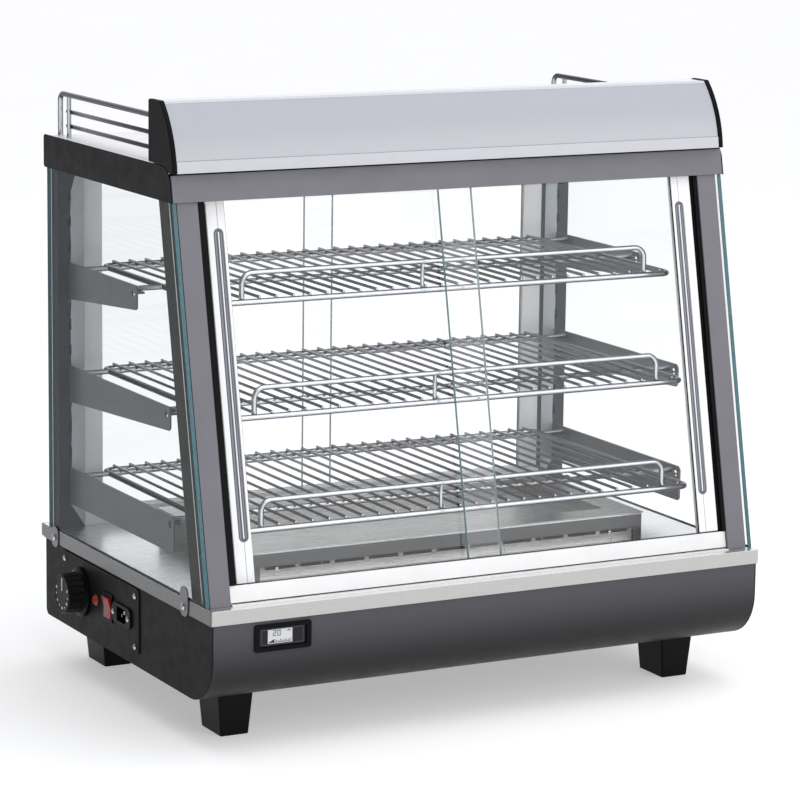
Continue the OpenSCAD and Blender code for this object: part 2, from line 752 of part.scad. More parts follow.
module rear_standard() {
    wall = 2;
    slot_pitch = shelf_pitch / 4;
    color("#85888d") difference() {
        box([rear_jamb_x, standard_y0, deck_z], [glass_x0 - 0.2, standard_y1, roof_z - 8]);
        box([rear_jamb_x + wall, standard_y0 + wall, deck_z - eps],
            [glass_x0 - 0.2 - wall, standard_y1 - wall, roof_z]);
        // column of hook slots
        for (k = [-1 : 11])
            box([bracket_x - 1.6, standard_y0 - eps, shelf_z0 - 12.4 + k * slot_pitch],
                [bracket_x + 1.6, standard_y0 + wall + eps, shelf_z0 - 1.5 + k * slot_pitch]);
    }
}

module rear_standard_left() { flipped() rear_standard(); }
module rear_standard_right() { rear_standard(); }

// ---------- canopy ----------

// outline of a canopy side plate: leaning front with a round upper corner, grown by g
module canopy_outline(g) {
    r = 24 + g;
    back = [cos(lean), -sin(lean)];
    cz = roof_z - 24;
    cy = band_y + (24 + (cz - canopy_z) * sin(lean)) / cos(lean);
    touch = [cy - r * back[0], cz - r * back[1]];
    foot_y = band_y - g / cos(lean);
    polygon([[foot_y, canopy_z], touch, [cy, cz], [cy, roof_z + g],
             [canopy_rear_y - 4, roof_z + g], [canopy_rear_y, roof_z - 4],
             [canopy_rear_y, canopy_z + 4], [canopy_rear_y - 4, canopy_z]]);
    intersection() {
        translate([cy, cz]) circle(r);
        translate([foot_y, canopy_z]) square([2 * r, canopy_h + 2 * g]);
    }
    for (z = [canopy_z + 4, roof_z - 4]) translate([canopy_rear_y - 4, z]) circle(4);
}

module canopy_side() {
    color("#3a393d") {
        along_x(plate_x0, plate_x1) canopy_outline(0);
        box([plate_x0 - 14, band_y + 60, roof_z - 3.6 - sheet], [plate_x0 + 0.1, canopy_rear_y - 12, roof_z - 3.6]);
    }
}

module canopy_side_left() { flipped() canopy_side(); }
module canopy_side_right() { canopy_side(); }

module canopy_front_band() {
    s1 = (canopy_h - 9) / cos(lean);
    x1 = plate_x0 - fit_gap;
    color("#7a7980") translate([0, cabin_h * tan(lean), cabin_h]) leaning() {
        box([-x1, -band_out, 0], [x1, -band_out + sheet, s1]);
        box([-x1, -band_out, 0], [x1, -0.1, sheet]);
        box([-x1, -band_out, s1 - sheet], [x1, 12, s1]);
        for (x = [-x1, x1 - sheet]) box([x, -band_out, 0], [x + sheet, -0.1, s1]);
    }
}

module roof_panel() {
    x1 = plate_x0 - fit_gap;
    z1 = roof_z - 2;
    y0 = from_front(125);
    y1 = canopy_rear_y - 0.1;
    color("#e4e3e7") {
        box([-x1, y0, z1 - sheet], [x1, y1, z1]);
        box([-x1, y1 - sheet, canopy_z + 2], [x1, y1, z1 - 0.1]);
    }
}

// ---------- light box ----------

// centre of the diffuser's arc, from its two ends
chord = diffuser_top - diffuser_foot;
chord_len = norm(chord);
arc_back = sqrt(pow(diffuser_r, 2) - pow(chord_len / 2, 2));
arc_mid = (diffuser_top + diffuser_foot) / 2 + arc_back * [chord[1], -chord[0]] / chord_len;

// region behind the diffuser's outer face, grown outwards by g
module light_outline(g) {
    intersection() {
        translate(arc_mid) circle(diffuser_r + g, $fn = 180);
        translate([diffuser_foot[0] - 20, diffuser_foot[1]])
            square([light_rear_y - diffuser_foot[0] + 20, top_z - diffuser_foot[1] + min(g, 1)]);
    }
}

module light_diffuser() {
    lip = 12;
    color("#cfd0da") along_x(shell_x0, shell_x1) {
        difference() {
            light_outline(0);
            translate(arc_mid) circle(diffuser_r - diffuser_t, $fn = 180);
            canopy_outline(0.6);
        }
        // thicker lip along the lower edge
        difference() {
            intersection() {
                translate(arc_mid) circle(diffuser_r + 0.8, $fn = 180);
                translate(diffuser_foot - [20, 0]) square([40, lip]);
            }
            translate(arc_mid) circle(diffuser_r - diffuser_t, $fn = 180);
            canopy_outline(0.6);
        }
    }
}

module light_housing() {
    top = top_z - 0.2;
    color("#e6e6ea") {
        box([shell_x0, light_rear_y - sheet, roof_z - 2], [shell_x1, light_rear_y, top]);
        box([shell_x0, diffuser_top[0] + 4.5, top - sheet], [shell_x1, light_rear_y - 0.1, top]);
        box([shell_x0, from_front(118), roof_z - 2], [shell_x1, light_rear_y - 0.1, roof_z - 2 + sheet]);
        // holders of the tube
        for (s = [-1, 1]) translate([s * 300, 0, 0])
            box([-4, light_rear_y - 28, roof_z - 2], [4, light_rear_y - 10, roof_z + 44]);
    }
}

// cuts a round corner at the back of a cap, at height z, with the cap above (1) or below (-1)
module cap_corner(z, side) {
    translate([light_rear_y - cap_r, z + side * cap_r]) difference() {
        translate([0, side > 0 ? -cap_r - eps : 0]) square([cap_r + eps, cap_r + eps]);
        circle(cap_r);
    }
}

module light_cap() {
    color("#29282c") along_x(light_x, light_x + cap_t) difference() {
        light_outline(1.4);
        // the cap hugs the canopy's round corner
        canopy_outline(0.8);
        cap_corner(roof_z + 0.8, 1);
        cap_corner(top_z + 1, -1);
    }
}

module light_cap_left() { flipped() light_cap(); }
module light_cap_right() { translate([-light_inset, 0, 0]) light_cap(); }

module lamp_tube() {
    color("#f4f4f0") {
        rod_x(-284, 284, light_rear_y - 19, roof_z + 30, 16);
        for (s = [-1, 1]) {
            rod_x(min(s * 284, s * 295.9), max(s * 284, s * 295.9), light_rear_y - 19, roof_z + 30, 17);
        }
    }
}

// ---------- side rails on the roof ----------

module gallery() {
    r = 9;
    z0 = roof_z - 2;
    z1 = roof_z + gallery_h;
    y1 = gallery_rear_y;
    color("#9a9aa0") {
        rod_y(gallery_x, light_rear_y, y1 - r, z1 - 3, 6);
        translate([gallery_x, y1 - r, z1 - 3 - r]) rotate([90, 0, 90]) bend(r, 6, 0);
        rod_z(gallery_x, y1, z0, z1 - 3 - r, 6);
        rod_z(gallery_x, y1 - 25, z0, z1 - 4, 5);
        for (z = [roof_z + 10, roof_z + 26]) rod_y(gallery_x - 3.5, light_rear_y, y1 - 12, z, 5);
    }
}

module gallery_left() { flipped() gallery(); }
module gallery_right() { gallery(); }

// ---------- shelves ----------

// rounded rectangle of rod in the horizontal plane
module rod_loop(x1, y0, y1, z, r, d) {
    for (y = [y0, y1]) rod_x(-x1 + r, x1 - r, y, z, d);
    for (s = [-1, 1]) rod_y(s * x1, y0 + r, y1 - r, z, d);
    translate([x1 - r, y1 - r, z]) bend(r, d, 0);
    translate([-x1 + r, y1 - r, z]) bend(r, d, 90);
    translate([-x1 + r, y0 + r, z]) bend(r, d, 180);
    translate([x1 - r, y0 + r, z]) bend(r, d, 270);
}

module shelf(i) {
    z = shelf_level(i);
    y0 = from_front(shelf_fronts[i]);
    wire_z = z + rail_d / 2 + wire_d / 2 - 0.5;
    guard_x = 250;
    guard_r = 12;
    guard_y = y0 + 3;
    count = floor((shelf_half - 3) / wire_pitch);
    color("#a7a9ae") {
        rod_loop(shelf_half, y0, shelf_rear_y, z, 10, rail_d);
        for (k = [-count : count - 1])
            rod_y((k + 0.5) * wire_pitch, y0, shelf_rear_y + 2, wire_z, wire_d);
        // cross rods that rest on the bracket lugs
        for (y = rod_places(i)) rod_x(-bracket_x + 2.6, bracket_x - 2.6, y, z + 0.2, rod_d);
        // guard wire with turned-down ends and one stay
        rod_x(-guard_x + guard_r, guard_x - guard_r, guard_y, z + guard_h, 6);
        for (s = [0, 1]) mirror([s, 0, 0]) {
            rod_z(guard_x, guard_y, z, z + guard_h - guard_r, 6);
            translate([guard_x - guard_r, guard_y, z + guard_h - guard_r]) rotate([90, 0, 0]) bend(guard_r, 6, 0);
        }
        rod_z(-33, guard_y, z, z + guard_h, 4.6);
    }
}

function rod_places(i) = [from_front(bracket_tips[i] + 12), from_front(395)];

module shelf_top() { shelf(2); }
module shelf_middle() { shelf(1); }
module shelf_bottom() { shelf(0); }

// sheet bracket with two hooks in the standard and two lugs under the shelf's rods
module bracket(i) {
    z = shelf_level(i);
    z1 = z + 5;
    y0 = from_front(bracket_tips[i]);
    y1 = standard_y0 - 0.1;
    x0 = bracket_x - bracket_t / 2;
    lug_z = z + 0.2 - rod_d / 2 - 0.3;
    difference() {
        along_x(x0, x0 + bracket_t) polygon([
            [y0 + 4, z1], [y1, z1], [y1, z1 - bracket_rear_h],
            [y0 + 3, z1 - bracket_tip_h[i]], [y0, z1 - bracket_tip_h[i] + 3], [y0, z1 - 4]]);
        translate([x0 - eps, y0 + 9, z1 - 9]) rotate([0, 90, 0]) cylinder(d = 8, h = bracket_t + 2 * eps);
    }
    for (y = rod_places(i)) box([x0 - 10, y - 7, lug_z - bracket_t], [x0 + 0.1, y + 7, lug_z]);
    // hooks through the slots
    for (k = [0, -1]) box([x0, y1 - 0.1, z - 11.9 + k * shelf_pitch / 4],
                          [x0 + bracket_t, standard_y0 + 6, z - 2 + k * shelf_pitch / 4]);
}

module shelf_brackets() {
    color("#747b7d") for (i = [0 : 2], s = [0, 1]) mirror([s, 0, 0]) bracket(i);
}

base_wrap();
base_rear_panel();
base_side_left();
base_side_right();
deck_pan();
foot_front_left();
foot_front_right();
foot_rear_left();
foot_rear_right();
foot_bolts();
control_panel();
panel_screws();
thermostat_body();
thermostat_shaft();
thermostat_knob();
indicator_lamp();
switch_housing();
switch_rocker();
mains_inlet();
thermometer_bezel();
thermometer_display();
heating_element();
element_supports();
heater_cover();
water_tray();
front_post_left();
front_post_right();
jamb_seals();
rear_standard_left();
rear_standard_right();
front_bottom_track();
front_top_track();
rear_bottom_track();
rear_top_track();
front_door_glass_left();
front_door_handle_left();
front_door_glass_right();
front_door_handle_right();
rear_door_glass_left();
rear_door_handle_left();
rear_door_glass_right();
rear_door_handle_right();
side_glass_left();
side_glass_right();
glass_clips();
canopy_side_left();
canopy_side_right();
canopy_front_band();
roof_panel();
light_housing();
light_diffuser();
light_cap_left();
light_cap_right();
lamp_tube();
gallery_left();
gallery_right();
shelf_top();
shelf_middle();
shelf_bottom();
shelf_brackets();
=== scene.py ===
"""Looks of the heated food display case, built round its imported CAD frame."""

import json
import math

import bmesh
import bpy
from mathutils import Matrix, Vector

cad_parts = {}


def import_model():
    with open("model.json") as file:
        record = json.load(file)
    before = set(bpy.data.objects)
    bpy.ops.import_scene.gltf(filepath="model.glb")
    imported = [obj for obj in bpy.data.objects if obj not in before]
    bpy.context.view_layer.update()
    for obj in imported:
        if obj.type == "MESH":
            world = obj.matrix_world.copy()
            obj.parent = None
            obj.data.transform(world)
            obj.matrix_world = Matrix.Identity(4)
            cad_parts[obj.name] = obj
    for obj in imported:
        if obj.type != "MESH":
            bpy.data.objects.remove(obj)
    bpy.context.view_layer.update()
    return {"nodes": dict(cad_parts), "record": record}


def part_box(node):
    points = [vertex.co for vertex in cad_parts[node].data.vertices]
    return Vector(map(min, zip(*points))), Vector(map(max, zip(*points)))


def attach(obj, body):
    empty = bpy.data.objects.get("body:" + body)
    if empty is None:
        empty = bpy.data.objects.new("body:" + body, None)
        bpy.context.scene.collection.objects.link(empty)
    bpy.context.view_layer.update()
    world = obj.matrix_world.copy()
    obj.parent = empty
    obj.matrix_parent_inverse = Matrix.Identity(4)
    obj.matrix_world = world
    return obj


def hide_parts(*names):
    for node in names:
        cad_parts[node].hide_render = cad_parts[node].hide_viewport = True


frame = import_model()
nodes = frame["nodes"]
record = frame["record"]
BODY_OF = {n: b for b, members in record["behaviour"]["bodies"].items() for n in members}
SLOT_OF = {s["node"]: s["material_slot"] for s in record["subparts"]}
MM = 0.001
scene = bpy.context.scene

# ---------- places read from the frame ----------

DECK_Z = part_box("deck_pan")[1].z - 1.5 * MM
ROOF_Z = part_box("roof_panel")[1].z + 2 * MM
WELD = 0.002 * MM
EDGE_ANGLE = math.radians(32)      # edges sharper than this are rounded


def front_line():
    """Lowest front corner of a side pane, and the front's lean from the vertical."""
    points = [v.co for v in nodes["side_glass_right"].data.vertices]
    low_z, high_z = min(p.z for p in points), max(p.z for p in points)
    foot = min(p.y for p in points if p.z < low_z + MM)
    head = min(p.y for p in points if p.z > high_z - MM)
    return Vector((0, foot - 0.6 * MM, low_z)), math.atan2(head - foot, high_z - low_z)


POST_FOOT, LEAN = front_line()
LEANING = Matrix.Translation(POST_FOOT) @ Matrix.Rotation(-LEAN, 4, "X")
UPRIGHT = LEANING.inverted()


# ---------- node materials ----------

class Paint:
    """A node material on one Principled shader, with helpers for procedural detail."""

    def __init__(self, name, color, rough=0.5, metal=0.0, **sockets):
        self.mat = bpy.data.materials.new(name)
        self.mat.use_nodes = True
        self.tree = self.mat.node_tree
        self.bsdf = self.tree.nodes["Principled BSDF"]
        self.out = self.tree.nodes["Material Output"]
        self.color = (*color, 1.0)
        self.set("Base Color", self.color)
        self.set("Roughness", rough)
        self.set("Metallic", metal)
        for key, value in sockets.items():
            self.set(key.replace("_", " ").title().replace("Ior", "IOR"), value)
        self.coords = self.node("ShaderNodeTexCoord").outputs["Object"]
        self.height = None

    def set(self, socket, value):
        self.bsdf.inputs[socket].default_value = value

    def node(self, kind, **settings):
        made = self.tree.nodes.new(kind)
        for key, value in settings.items():
            if key in made.inputs:
                made.inputs[key].default_value = value
            else:
                setattr(made, key, value)
        return made

    def link(self, a, b):
        self.tree.links.new(a, b)

    def noise(self, scale, stretch=(1, 1, 1), detail=3.0, rough=0.55):
        """A noise value from 0 to 1; scale is in cycles per metre."""
        place = self.node("ShaderNodeMapping")
        place.inputs["Scale"].default_value = stretch
        self.link(self.coords, place.inputs["Vector"])
        n = self.node("ShaderNodeTexNoise", Scale=scale, Detail=detail, Roughness=rough)
        self.link(place.outputs["Vector"], n.inputs["Vector"])
        return n.outputs["Fac"]

    def spread(self, value, low, high, spot=(0.3, 0.7)):
        """Maps a noise value to the range from low to high."""
        m = self.node("ShaderNodeMapRange")
        m.inputs["From Min"].default_value = spot[0]
        m.inputs["From Max"].default_value = spot[1]
        m.inputs["To Min"].default_value = low
        m.inputs["To Max"].default_value = high
        self.link(value, m.inputs["Value"])
        return m.outputs["Result"]

    def vary_color(self, value, other, share=1.0):
        mix = self.node("ShaderNodeMix", data_type="RGBA")
        self.link(self.spread(value, 0.0, share), mix.inputs["Factor"])
        mix.inputs["A"].default_value = self.color
        mix.inputs["B"].default_value = (*other, 1.0)
        source = mix.outputs["Result"]
        self.link(source, self.bsdf.inputs["Base Color"])
        return self

    def vary_rough(self, value, low, high):
        self.link(self.spread(value, low, high), self.bsdf.inputs["Roughness"])
        return self

    def bump(self, value, depth, strength=1.0):
        """Adds relief; depth is the height in metres between the value's 0 and 1."""
        b = self.node("ShaderNodeBump", Strength=strength, Distance=depth)
        self.link(value, b.inputs["Height"])
        if self.height is not None:
            self.link(self.height, b.inputs["Normal"])
        self.height = b.outputs["Normal"]
        self.link(self.height, self.bsdf.inputs["Normal"])
        return self


def powder_coat(name, color, rough, grain=900.0, depth=0.00003, **sockets):
    p = Paint(name, color, rough, **sockets)
    p.vary_color(p.noise(14.0), [c * 0.86 for c in color], 0.6)
    p.vary_rough(p.noise(60.0), rough - 0.05, rough + 0.07)
    return p.bump(p.noise(grain, detail=2.0), depth).mat


def height_shaded_paint(name, top, bottom, rough, z0, z1, **sockets):
    """Powder coat with painted shade: its tone changes with height from a panel's top tone to its bottom tone.
    """
    p = Paint(name, top, rough, **sockets)
    axes = p.node("ShaderNodeSeparateXYZ")
    p.link(p.coords, axes.inputs["Vector"])
    fall = p.node("ShaderNodeMapRange", interpolation_type="SMOOTHSTEP")
    fall.inputs["From Min"].default_value = z0
    fall.inputs["From Max"].default_value = z1
    p.link(axes.outputs["Z"], fall.inputs["Value"])
    mix = p.node("ShaderNodeMix", data_type="RGBA")
    mix.inputs["A"].default_value = (*bottom, 1.0)
    mix.inputs["B"].default_value = (*top, 1.0)
    p.link(fall.outputs["Result"], mix.inputs["Factor"])
    p.link(mix.outputs["Result"], p.bsdf.inputs["Base Color"])
    p.vary_rough(p.noise(60.0), rough - 0.05, rough + 0.07)
    return p.bump(p.noise(900.0, detail=2.0), 0.00003).mat


def moulded(name, color, rough, grain=1600.0, depth=0.00003, **sockets):
    p = Paint(name, color, rough, **sockets)
    p.vary_color(p.noise(45.0), [c * 1.06 + 0.001 for c in color], 0.6)
    p.vary_rough(p.noise(160.0), rough - 0.03, rough + 0.04)
    return p.bump(p.noise(grain, detail=1.5), depth).mat


def brushed(name, color, rough, along=(0.03, 1, 1), lines=2600.0, depth=0.000006):
    """Sheet metal with a fine grain; along is small on the axis that the grain follows."""
    p = Paint(name, color, rough, 1.0)
    p.vary_color(p.noise(lines * 0.4, along), [c * 0.9 for c in color], 0.6)
    p.vary_rough(p.noise(lines * 0.6, along), rough - 0.07, rough + 0.09)
    return p.bump(p.noise(lines, along, detail=2.0), depth).mat


def painted_sheen_wire(name, color, rough):
    """Bright wire with a painted reflection: by the view angle its base colour goes dark at the edges and stays
    light in the middle, painting the highlight of a polished round.
    """
    p = Paint(name, color, rough, 1.0)
    turn = p.node("ShaderNodeLayerWeight", Blend=0.35)
    band = p.node("ShaderNodeMapRange", interpolation_type="SMOOTHSTEP")
    band.inputs["From Min"].default_value = 0.03
    band.inputs["From Max"].default_value = 0.36
    p.link(turn.outputs["Facing"], band.inputs["Value"])
    mix = p.node("ShaderNodeMix", data_type="RGBA")
    mix.inputs["A"].default_value = (color[0] * 1.9, color[1] * 1.9, color[2] * 1.9, 1.0)
    mix.inputs["B"].default_value = (color[0] * 0.16, color[1] * 0.16, color[2] * 0.18, 1.0)
    p.link(band.outputs["Result"], mix.inputs["Factor"])
    p.link(mix.outputs["Result"], p.bsdf.inputs["Base Color"])
    p.vary_rough(p.noise(260.0), rough - 0.04, rough + 0.06)
    return p.bump(p.noise(420.0, detail=2.0), 0.00001).mat


def plated(name, color, rough, depth=0.00001):
    p = Paint(name, color, rough, 1.0)
    p.vary_color(p.noise(90.0), [c * 0.88 for c in color], 0.7)
    p.vary_rough(p.noise(260.0), max(rough - 0.04, 0.03), rough + 0.06)
    return p.bump(p.noise(420.0, detail=2.0), depth).mat


def glass(name, tint, mirror=1.0):
    """A thin pane: it lets light straight through, tints it and mirrors at its surface."""
    mat = bpy.data.materials.new(name)
    mat.use_nodes = True
    tree = mat.node_tree
    tree.nodes.remove(tree.nodes["Principled BSDF"])
    clear = tree.nodes.new("ShaderNodeBsdfTransparent")
    clear.inputs["Color"].default_value = (*tint, 1)
    shine = tree.nodes.new("ShaderNodeBsdfGlossy")
    shine.inputs["Color"].default_value = (mirror, mirror, mirror, 1)
    shine.inputs["Roughness"].default_value = 0.02
    angle = tree.nodes.new("ShaderNodeFresnel")
    angle.inputs["IOR"].default_value = 1.45
    face = tree.nodes.new("ShaderNodeNewGeometry")
    front = tree.nodes.new("ShaderNodeMath")
    front.operation = "SUBTRACT"
    front.inputs[0].default_value = 1.0
    tree.links.new(face.outputs["Backfacing"], front.inputs[1])
    share = tree.nodes.new("ShaderNodeMath")
    share.operation = "MULTIPLY"
    tree.links.new(angle.outputs["Fac"], share.inputs[0])
    tree.links.new(front.outputs["Value"], share.inputs[1])
    mix = tree.nodes.new("ShaderNodeMixShader")
    tree.links.new(share.outputs["Value"], mix.inputs["Fac"])
    tree.links.new(clear.outputs["BSDF"], mix.inputs[1])
    tree.links.new(shine.outputs["BSDF"], mix.inputs[2])
    tree.links.new(mix.outputs["Shader"], tree.nodes["Material Output"].inputs["Surface"])
    return mat


def glass_edge(name, color):
    """The ground edge of a pane, where the glass's own colour shows."""
    p = Paint(name, color, 0.22)
    p.vary_color(p.noise(900.0, (1, 1, 0.02)), [c * 1.9 + 0.02 for c in color], 0.8)
    return p.bump(p.noise(1500.0), 0.00002).mat


GRIT = 0.00002     # relief of a fine powder coat, in metres


def make_materials():
    made = {}

    def add(maker, name, *settings, **more):
        made[name] = maker(name, *settings, **more)

    add(powder_coat, "dark_paint", (0.0100, 0.0094, 0.0112), 0.45, depth=GRIT, specular_ior_level=0.06)
    # painted shade: the base wrap is lighter at the top and darker towards the bottom, where less light reaches
    # its curved front
    add(height_shaded_paint, "front_paint", (0.078, 0.076, 0.086), (0.018, 0.016, 0.017), 0.42, 0.074, 0.142,
        specular_ior_level=0.19)
    add(powder_coat, "rear_paint", (0.017, 0.0165, 0.019), 0.46, specular_ior_level=0.25)
    add(powder_coat, "panel_paint", (0.0100, 0.0095, 0.0115), 0.42, depth=GRIT, specular_ior_level=0.05)
    add(powder_coat, "post_grey", (0.150, 0.143, 0.166), 0.4, depth=GRIT)
    add(powder_coat, "bracket_grey", (0.088, 0.100, 0.112), 0.36, depth=GRIT, specular_ior_level=0.3)
    add(powder_coat, "roof_paint", (0.74, 0.74, 0.77), 0.35, depth=GRIT)
    add(powder_coat, "light_shell", (0.70, 0.70, 0.74), 0.35, depth=GRIT)
    add(brushed, "stainless", (0.50, 0.493, 0.483), 0.27)
    # painted highlight: a paler copy of the steel for the top faces of the deck and the heater cover
    add(brushed, "deck_steel", (0.84, 0.845, 0.85), 0.26, lines=1800.0, depth=0.000002)
    add(powder_coat, "track_alloy", (0.86, 0.855, 0.855), 0.34, depth=0.00001)
    add(powder_coat, "handle_alloy", (0.90, 0.90, 0.905), 0.32, depth=0.00001)
    add(plated, "zinc", (0.62, 0.62, 0.61), 0.22)
    # its base colour carries a painted reflection: light middle, dark edges
    add(painted_sheen_wire, "chrome_wire", (0.34, 0.35, 0.37), 0.2)
    add(plated, "brass", (0.65, 0.47, 0.2), 0.28)
    add(plated, "element_sheath", (0.16, 0.14, 0.13), 0.42)
    add(moulded, "foot_plastic", (0.0035, 0.0035, 0.0038), 0.34, specular_ior_level=0.09)
    add(moulded, "black_plastic", (0.0035, 0.0035, 0.004), 0.36, depth=0.00001, specular_ior_level=0.07)
    add(moulded, "cap_plastic", (0.006, 0.0055, 0.007), 0.42, depth=0.00001, specular_ior_level=0.04)
    add(moulded, "phenolic", (0.30, 0.28, 0.24), 0.55)
    add(moulded, "seal_rubber", (0.0035, 0.0035, 0.004), 0.6, specular_ior_level=0.1)
    add(moulded, "rocker_red", (0.24, 0.010, 0.008), 0.25, depth=0.000005, specular_ior_level=0.25)
    add(moulded, "lamp_red", (0.27, 0.038, 0.014), 0.22, depth=0.000005, specular_ior_level=0.3)
    add(moulded, "display", (0.60, 0.61, 0.63), 0.3, depth=0.000005)
    # painted shade: the opal front is darker towards the top and paler towards the bottom
    add(height_shaded_paint, "diffuser", (0.360, 0.372, 0.415), (0.462, 0.468, 0.502), 0.34, 0.602, 0.674)
    add(moulded, "lamp_glass", (0.85, 0.86, 0.84), 0.15, depth=0.000003)
    add(glass, "door_glass", (0.993, 0.997, 0.997))
    add(glass, "side_glass", (0.985, 0.993, 0.993), mirror=0.35)
    add(glass_edge, "door_edge", (0.17, 0.25, 0.25))
    add(glass_edge, "side_edge", (0.012, 0.075, 0.090))
    add(moulded, "white_mark", (0.80, 0.80, 0.80), 0.4, depth=0.000005)
    add(moulded, "dark_face", (0.012, 0.012, 0.014), 0.3, depth=0.000005, specular_ior_level=0.2)
    # painted shade: a darker copy of the steel for the heater cover's fascia
    add(brushed, "fascia_steel", (0.18, 0.18, 0.184), 0.45)
    # painted shade: a darker copy of the steel for the heater cover's end columns
    add(brushed, "column_steel", (0.13, 0.13, 0.133), 0.34, (1, 1, 0.03))
    # painted shade: the clip ears in a darker copy of their steel, for the dark they reflect
    add(plated, "clip_steel", (0.15, 0.15, 0.155), 0.3)
    # painted shade: the posts' side faces, a darker copy of the post grey
    add(powder_coat, "post_side", (0.017, 0.021, 0.020), 0.42, depth=GRIT, specular_ior_level=0.05)
    # painted shadow along the front of the posts' side faces
    add(powder_coat, "post_strip", (0.004, 0.007, 0.008), 0.4, depth=GRIT, specular_ior_level=0.04)
    # painted highlight line on the posts' side faces
    add(moulded, "light_strip", (0.62, 0.62, 0.58), 0.35, depth=0.000005)
    # painted shadow: a dark line beside each pale strip of the opal front
    add(moulded, "opal_line", (0.27, 0.28, 0.33), 0.4, depth=0.000004)
    # painted highlight: pale strips along the opal front's top and its lip
    add(moulded, "opal_edge", (0.50, 0.505, 0.545), 0.32, depth=0.000004)
    add(moulded, "window_light", (0.62, 0.63, 0.65), 0.3, depth=0.000004)
    add(moulded, "window_mark", (0.012, 0.012, 0.014), 0.4, depth=0.000004)
    # painted reflection: a darker copy of the steel for the deck's left rim, for the dark it reflects
    add(brushed, "side_steel", (0.15, 0.15, 0.152), 0.3, (1, 0.03, 1))
    add(moulded, "pile", (0.004, 0.004, 0.0045), 0.8, specular_ior_level=0.1)
    # painted shade in the door handles' finger slots
    add(powder_coat, "groove_grey", (0.20, 0.21, 0.24), 0.4, depth=0.00001)
    # painted shade in the door handles' finger slots, also used for the thermometer's fine border
    add(powder_coat, "slot_grey", (0.115, 0.125, 0.155), 0.3, depth=0.00001)
    add(plated, "copper_pin", (0.75, 0.74, 0.72), 0.2)
    # painted shade: the rear standards' faces, a dark copy of their grey
    add(powder_coat, "standard_side", (0.030, 0.038, 0.048), 0.38, depth=GRIT, specular_ior_level=0.08)
    # painted light: the rear standards' inner front faces, a lit copy of the same grey
    add(powder_coat, "standard_face", (0.42, 0.45, 0.48), 0.3, depth=0.00001)
    return made


MATS = make_materials()


# ---------- making pieces ----------

def link(name, mesh):
    obj = bpy.data.objects.new(name, mesh)
    scene.collection.objects.link(obj)
    return obj


def baked(obj):
    """Replaces obj's mesh by what its modifiers make of it."""
    graph = bpy.context.evaluated_depsgraph_get()
    mesh = bpy.data.meshes.new_from_object(obj.evaluated_get(graph), depsgraph=graph)
    obj.modifiers.clear()
    obj.data = mesh
    return obj


def ride_with(obj, node):
    """obj takes the body of a CAD node."""
    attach(obj, BODY_OF[node])


def stand_for(obj, node):
    """obj is shown in place of a CAD node."""
    ride_with(obj, node)
    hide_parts(node)
    return obj


# nodes whose flat faces have holes, so that they are rounded as triangles
# nodes with holes in their faces, cut into triangles before their edges are rounded
PIERCED = {"deck_pan", "thermometer_display", "base_rear_panel", "base_wrap", "heater_cover",
           "rear_standard_left", "rear_standard_right"}


def clean_copy(node):
    """A welded copy of a CAD node's mesh, with its flat faces whole again."""
    bm = bmesh.new()
    bm.from_mesh(nodes[node].data)
    bmesh.ops.remove_doubles(bm, verts=bm.verts, dist=WELD)
    bmesh.ops.dissolve_limit(bm, angle_limit=math.radians(0.4), verts=bm.verts, edges=bm.edges)
    return bm


def into_mesh(bm, node):
    """The mesh of a node's copy, ready to be rounded."""
    if node in PIERCED:
        bmesh.ops.triangulate(bm, faces=bm.faces[:], quad_method="BEAUTY", ngon_method="BEAUTY")
    mesh = bpy.data.meshes.new(node + "_shape")
    bm.to_mesh(mesh)
    bm.free()
    return mesh


def hold_flat(mesh, least):
    """Gives broad faces, at least this wide, one normal all over."""
    normals = [Vector(n.vector) for n in mesh.corner_normals]
    for p in mesh.polygons:
        ring = [mesh.vertices[i].co for i in p.vertices]
        around = sum((a - b).length for a, b in zip(ring, ring[1:] + ring[:1]))
        if 2 * p.area > least * around:
            for i in p.loop_indices:
                normals[i] = p.normal
    mesh.normals_split_custom_set(normals)


def rounded(obj, width, node):
    """Rounds the sharp edges of a mesh and gives it smooth normals over the rounds."""
    for p in obj.data.polygons:
        p.use_smooth = True
    bevel = obj.modifiers.new("edges", "BEVEL")
    bevel.width = width
    bevel.segments = 2
    bevel.limit_method = "ANGLE"
    bevel.use_clamp_overlap = node not in PIERCED
    bevel.angle_limit = EDGE_ANGLE
    bevel.harden_normals = True
    bevel.miter_outer = "MITER_ARC"
    weigh = obj.modifiers.new("normals", "WEIGHTED_NORMAL")
    weigh.keep_sharp = True
    baked(obj)
    if node in SHEETS:
        hold_flat(obj.data, 4 * MM)
    return obj


def finer(node, width, materials=None):
    """Shows a CAD node with rounded edges."""
    return stand_for(shaped(node, clean_copy(node), materials or [SLOT_OF[node]], width), node)


def mesh_piece(name, bm, materials, smooth=True):
    bmesh.ops.recalc_face_normals(bm, faces=bm.faces)
    mesh = bpy.data.meshes.new(name)
    bm.to_mesh(mesh)
    bm.free()
    for s in materials:
        mesh.materials.append(MATS[s])
    for p in mesh.polygons:
        p.use_smooth = smooth
    return link(name, mesh)


def soft_normals(obj, angle):
    """Smooth shading, but for edges sharper than the angle in degrees."""
    obj.data.set_sharp_from_angle(angle=math.radians(angle))
    return obj


def bent_path(points, radius, steps=8):
    """A line through the points whose corners are arcs of the radius."""
    points = [Vector(p) for p in points]
    path = [points[0]]
    for a, b, c in zip(points, points[1:], points[2:]):
        u, w = (a - b).normalized(), (c - b).normalized()
        half = u.angle(w) / 2
        reach = radius / math.tan(half)
        centre = b + (u + w).normalized() * radius / math.sin(half)
        start, end = b + u * reach, b + w * reach
        for i in range(steps + 1):
            ray = (start - centre).normalized().slerp((end - centre).normalized(), i / steps)
            path.append(centre + ray * radius)
    path.append(points[-1])
    return path


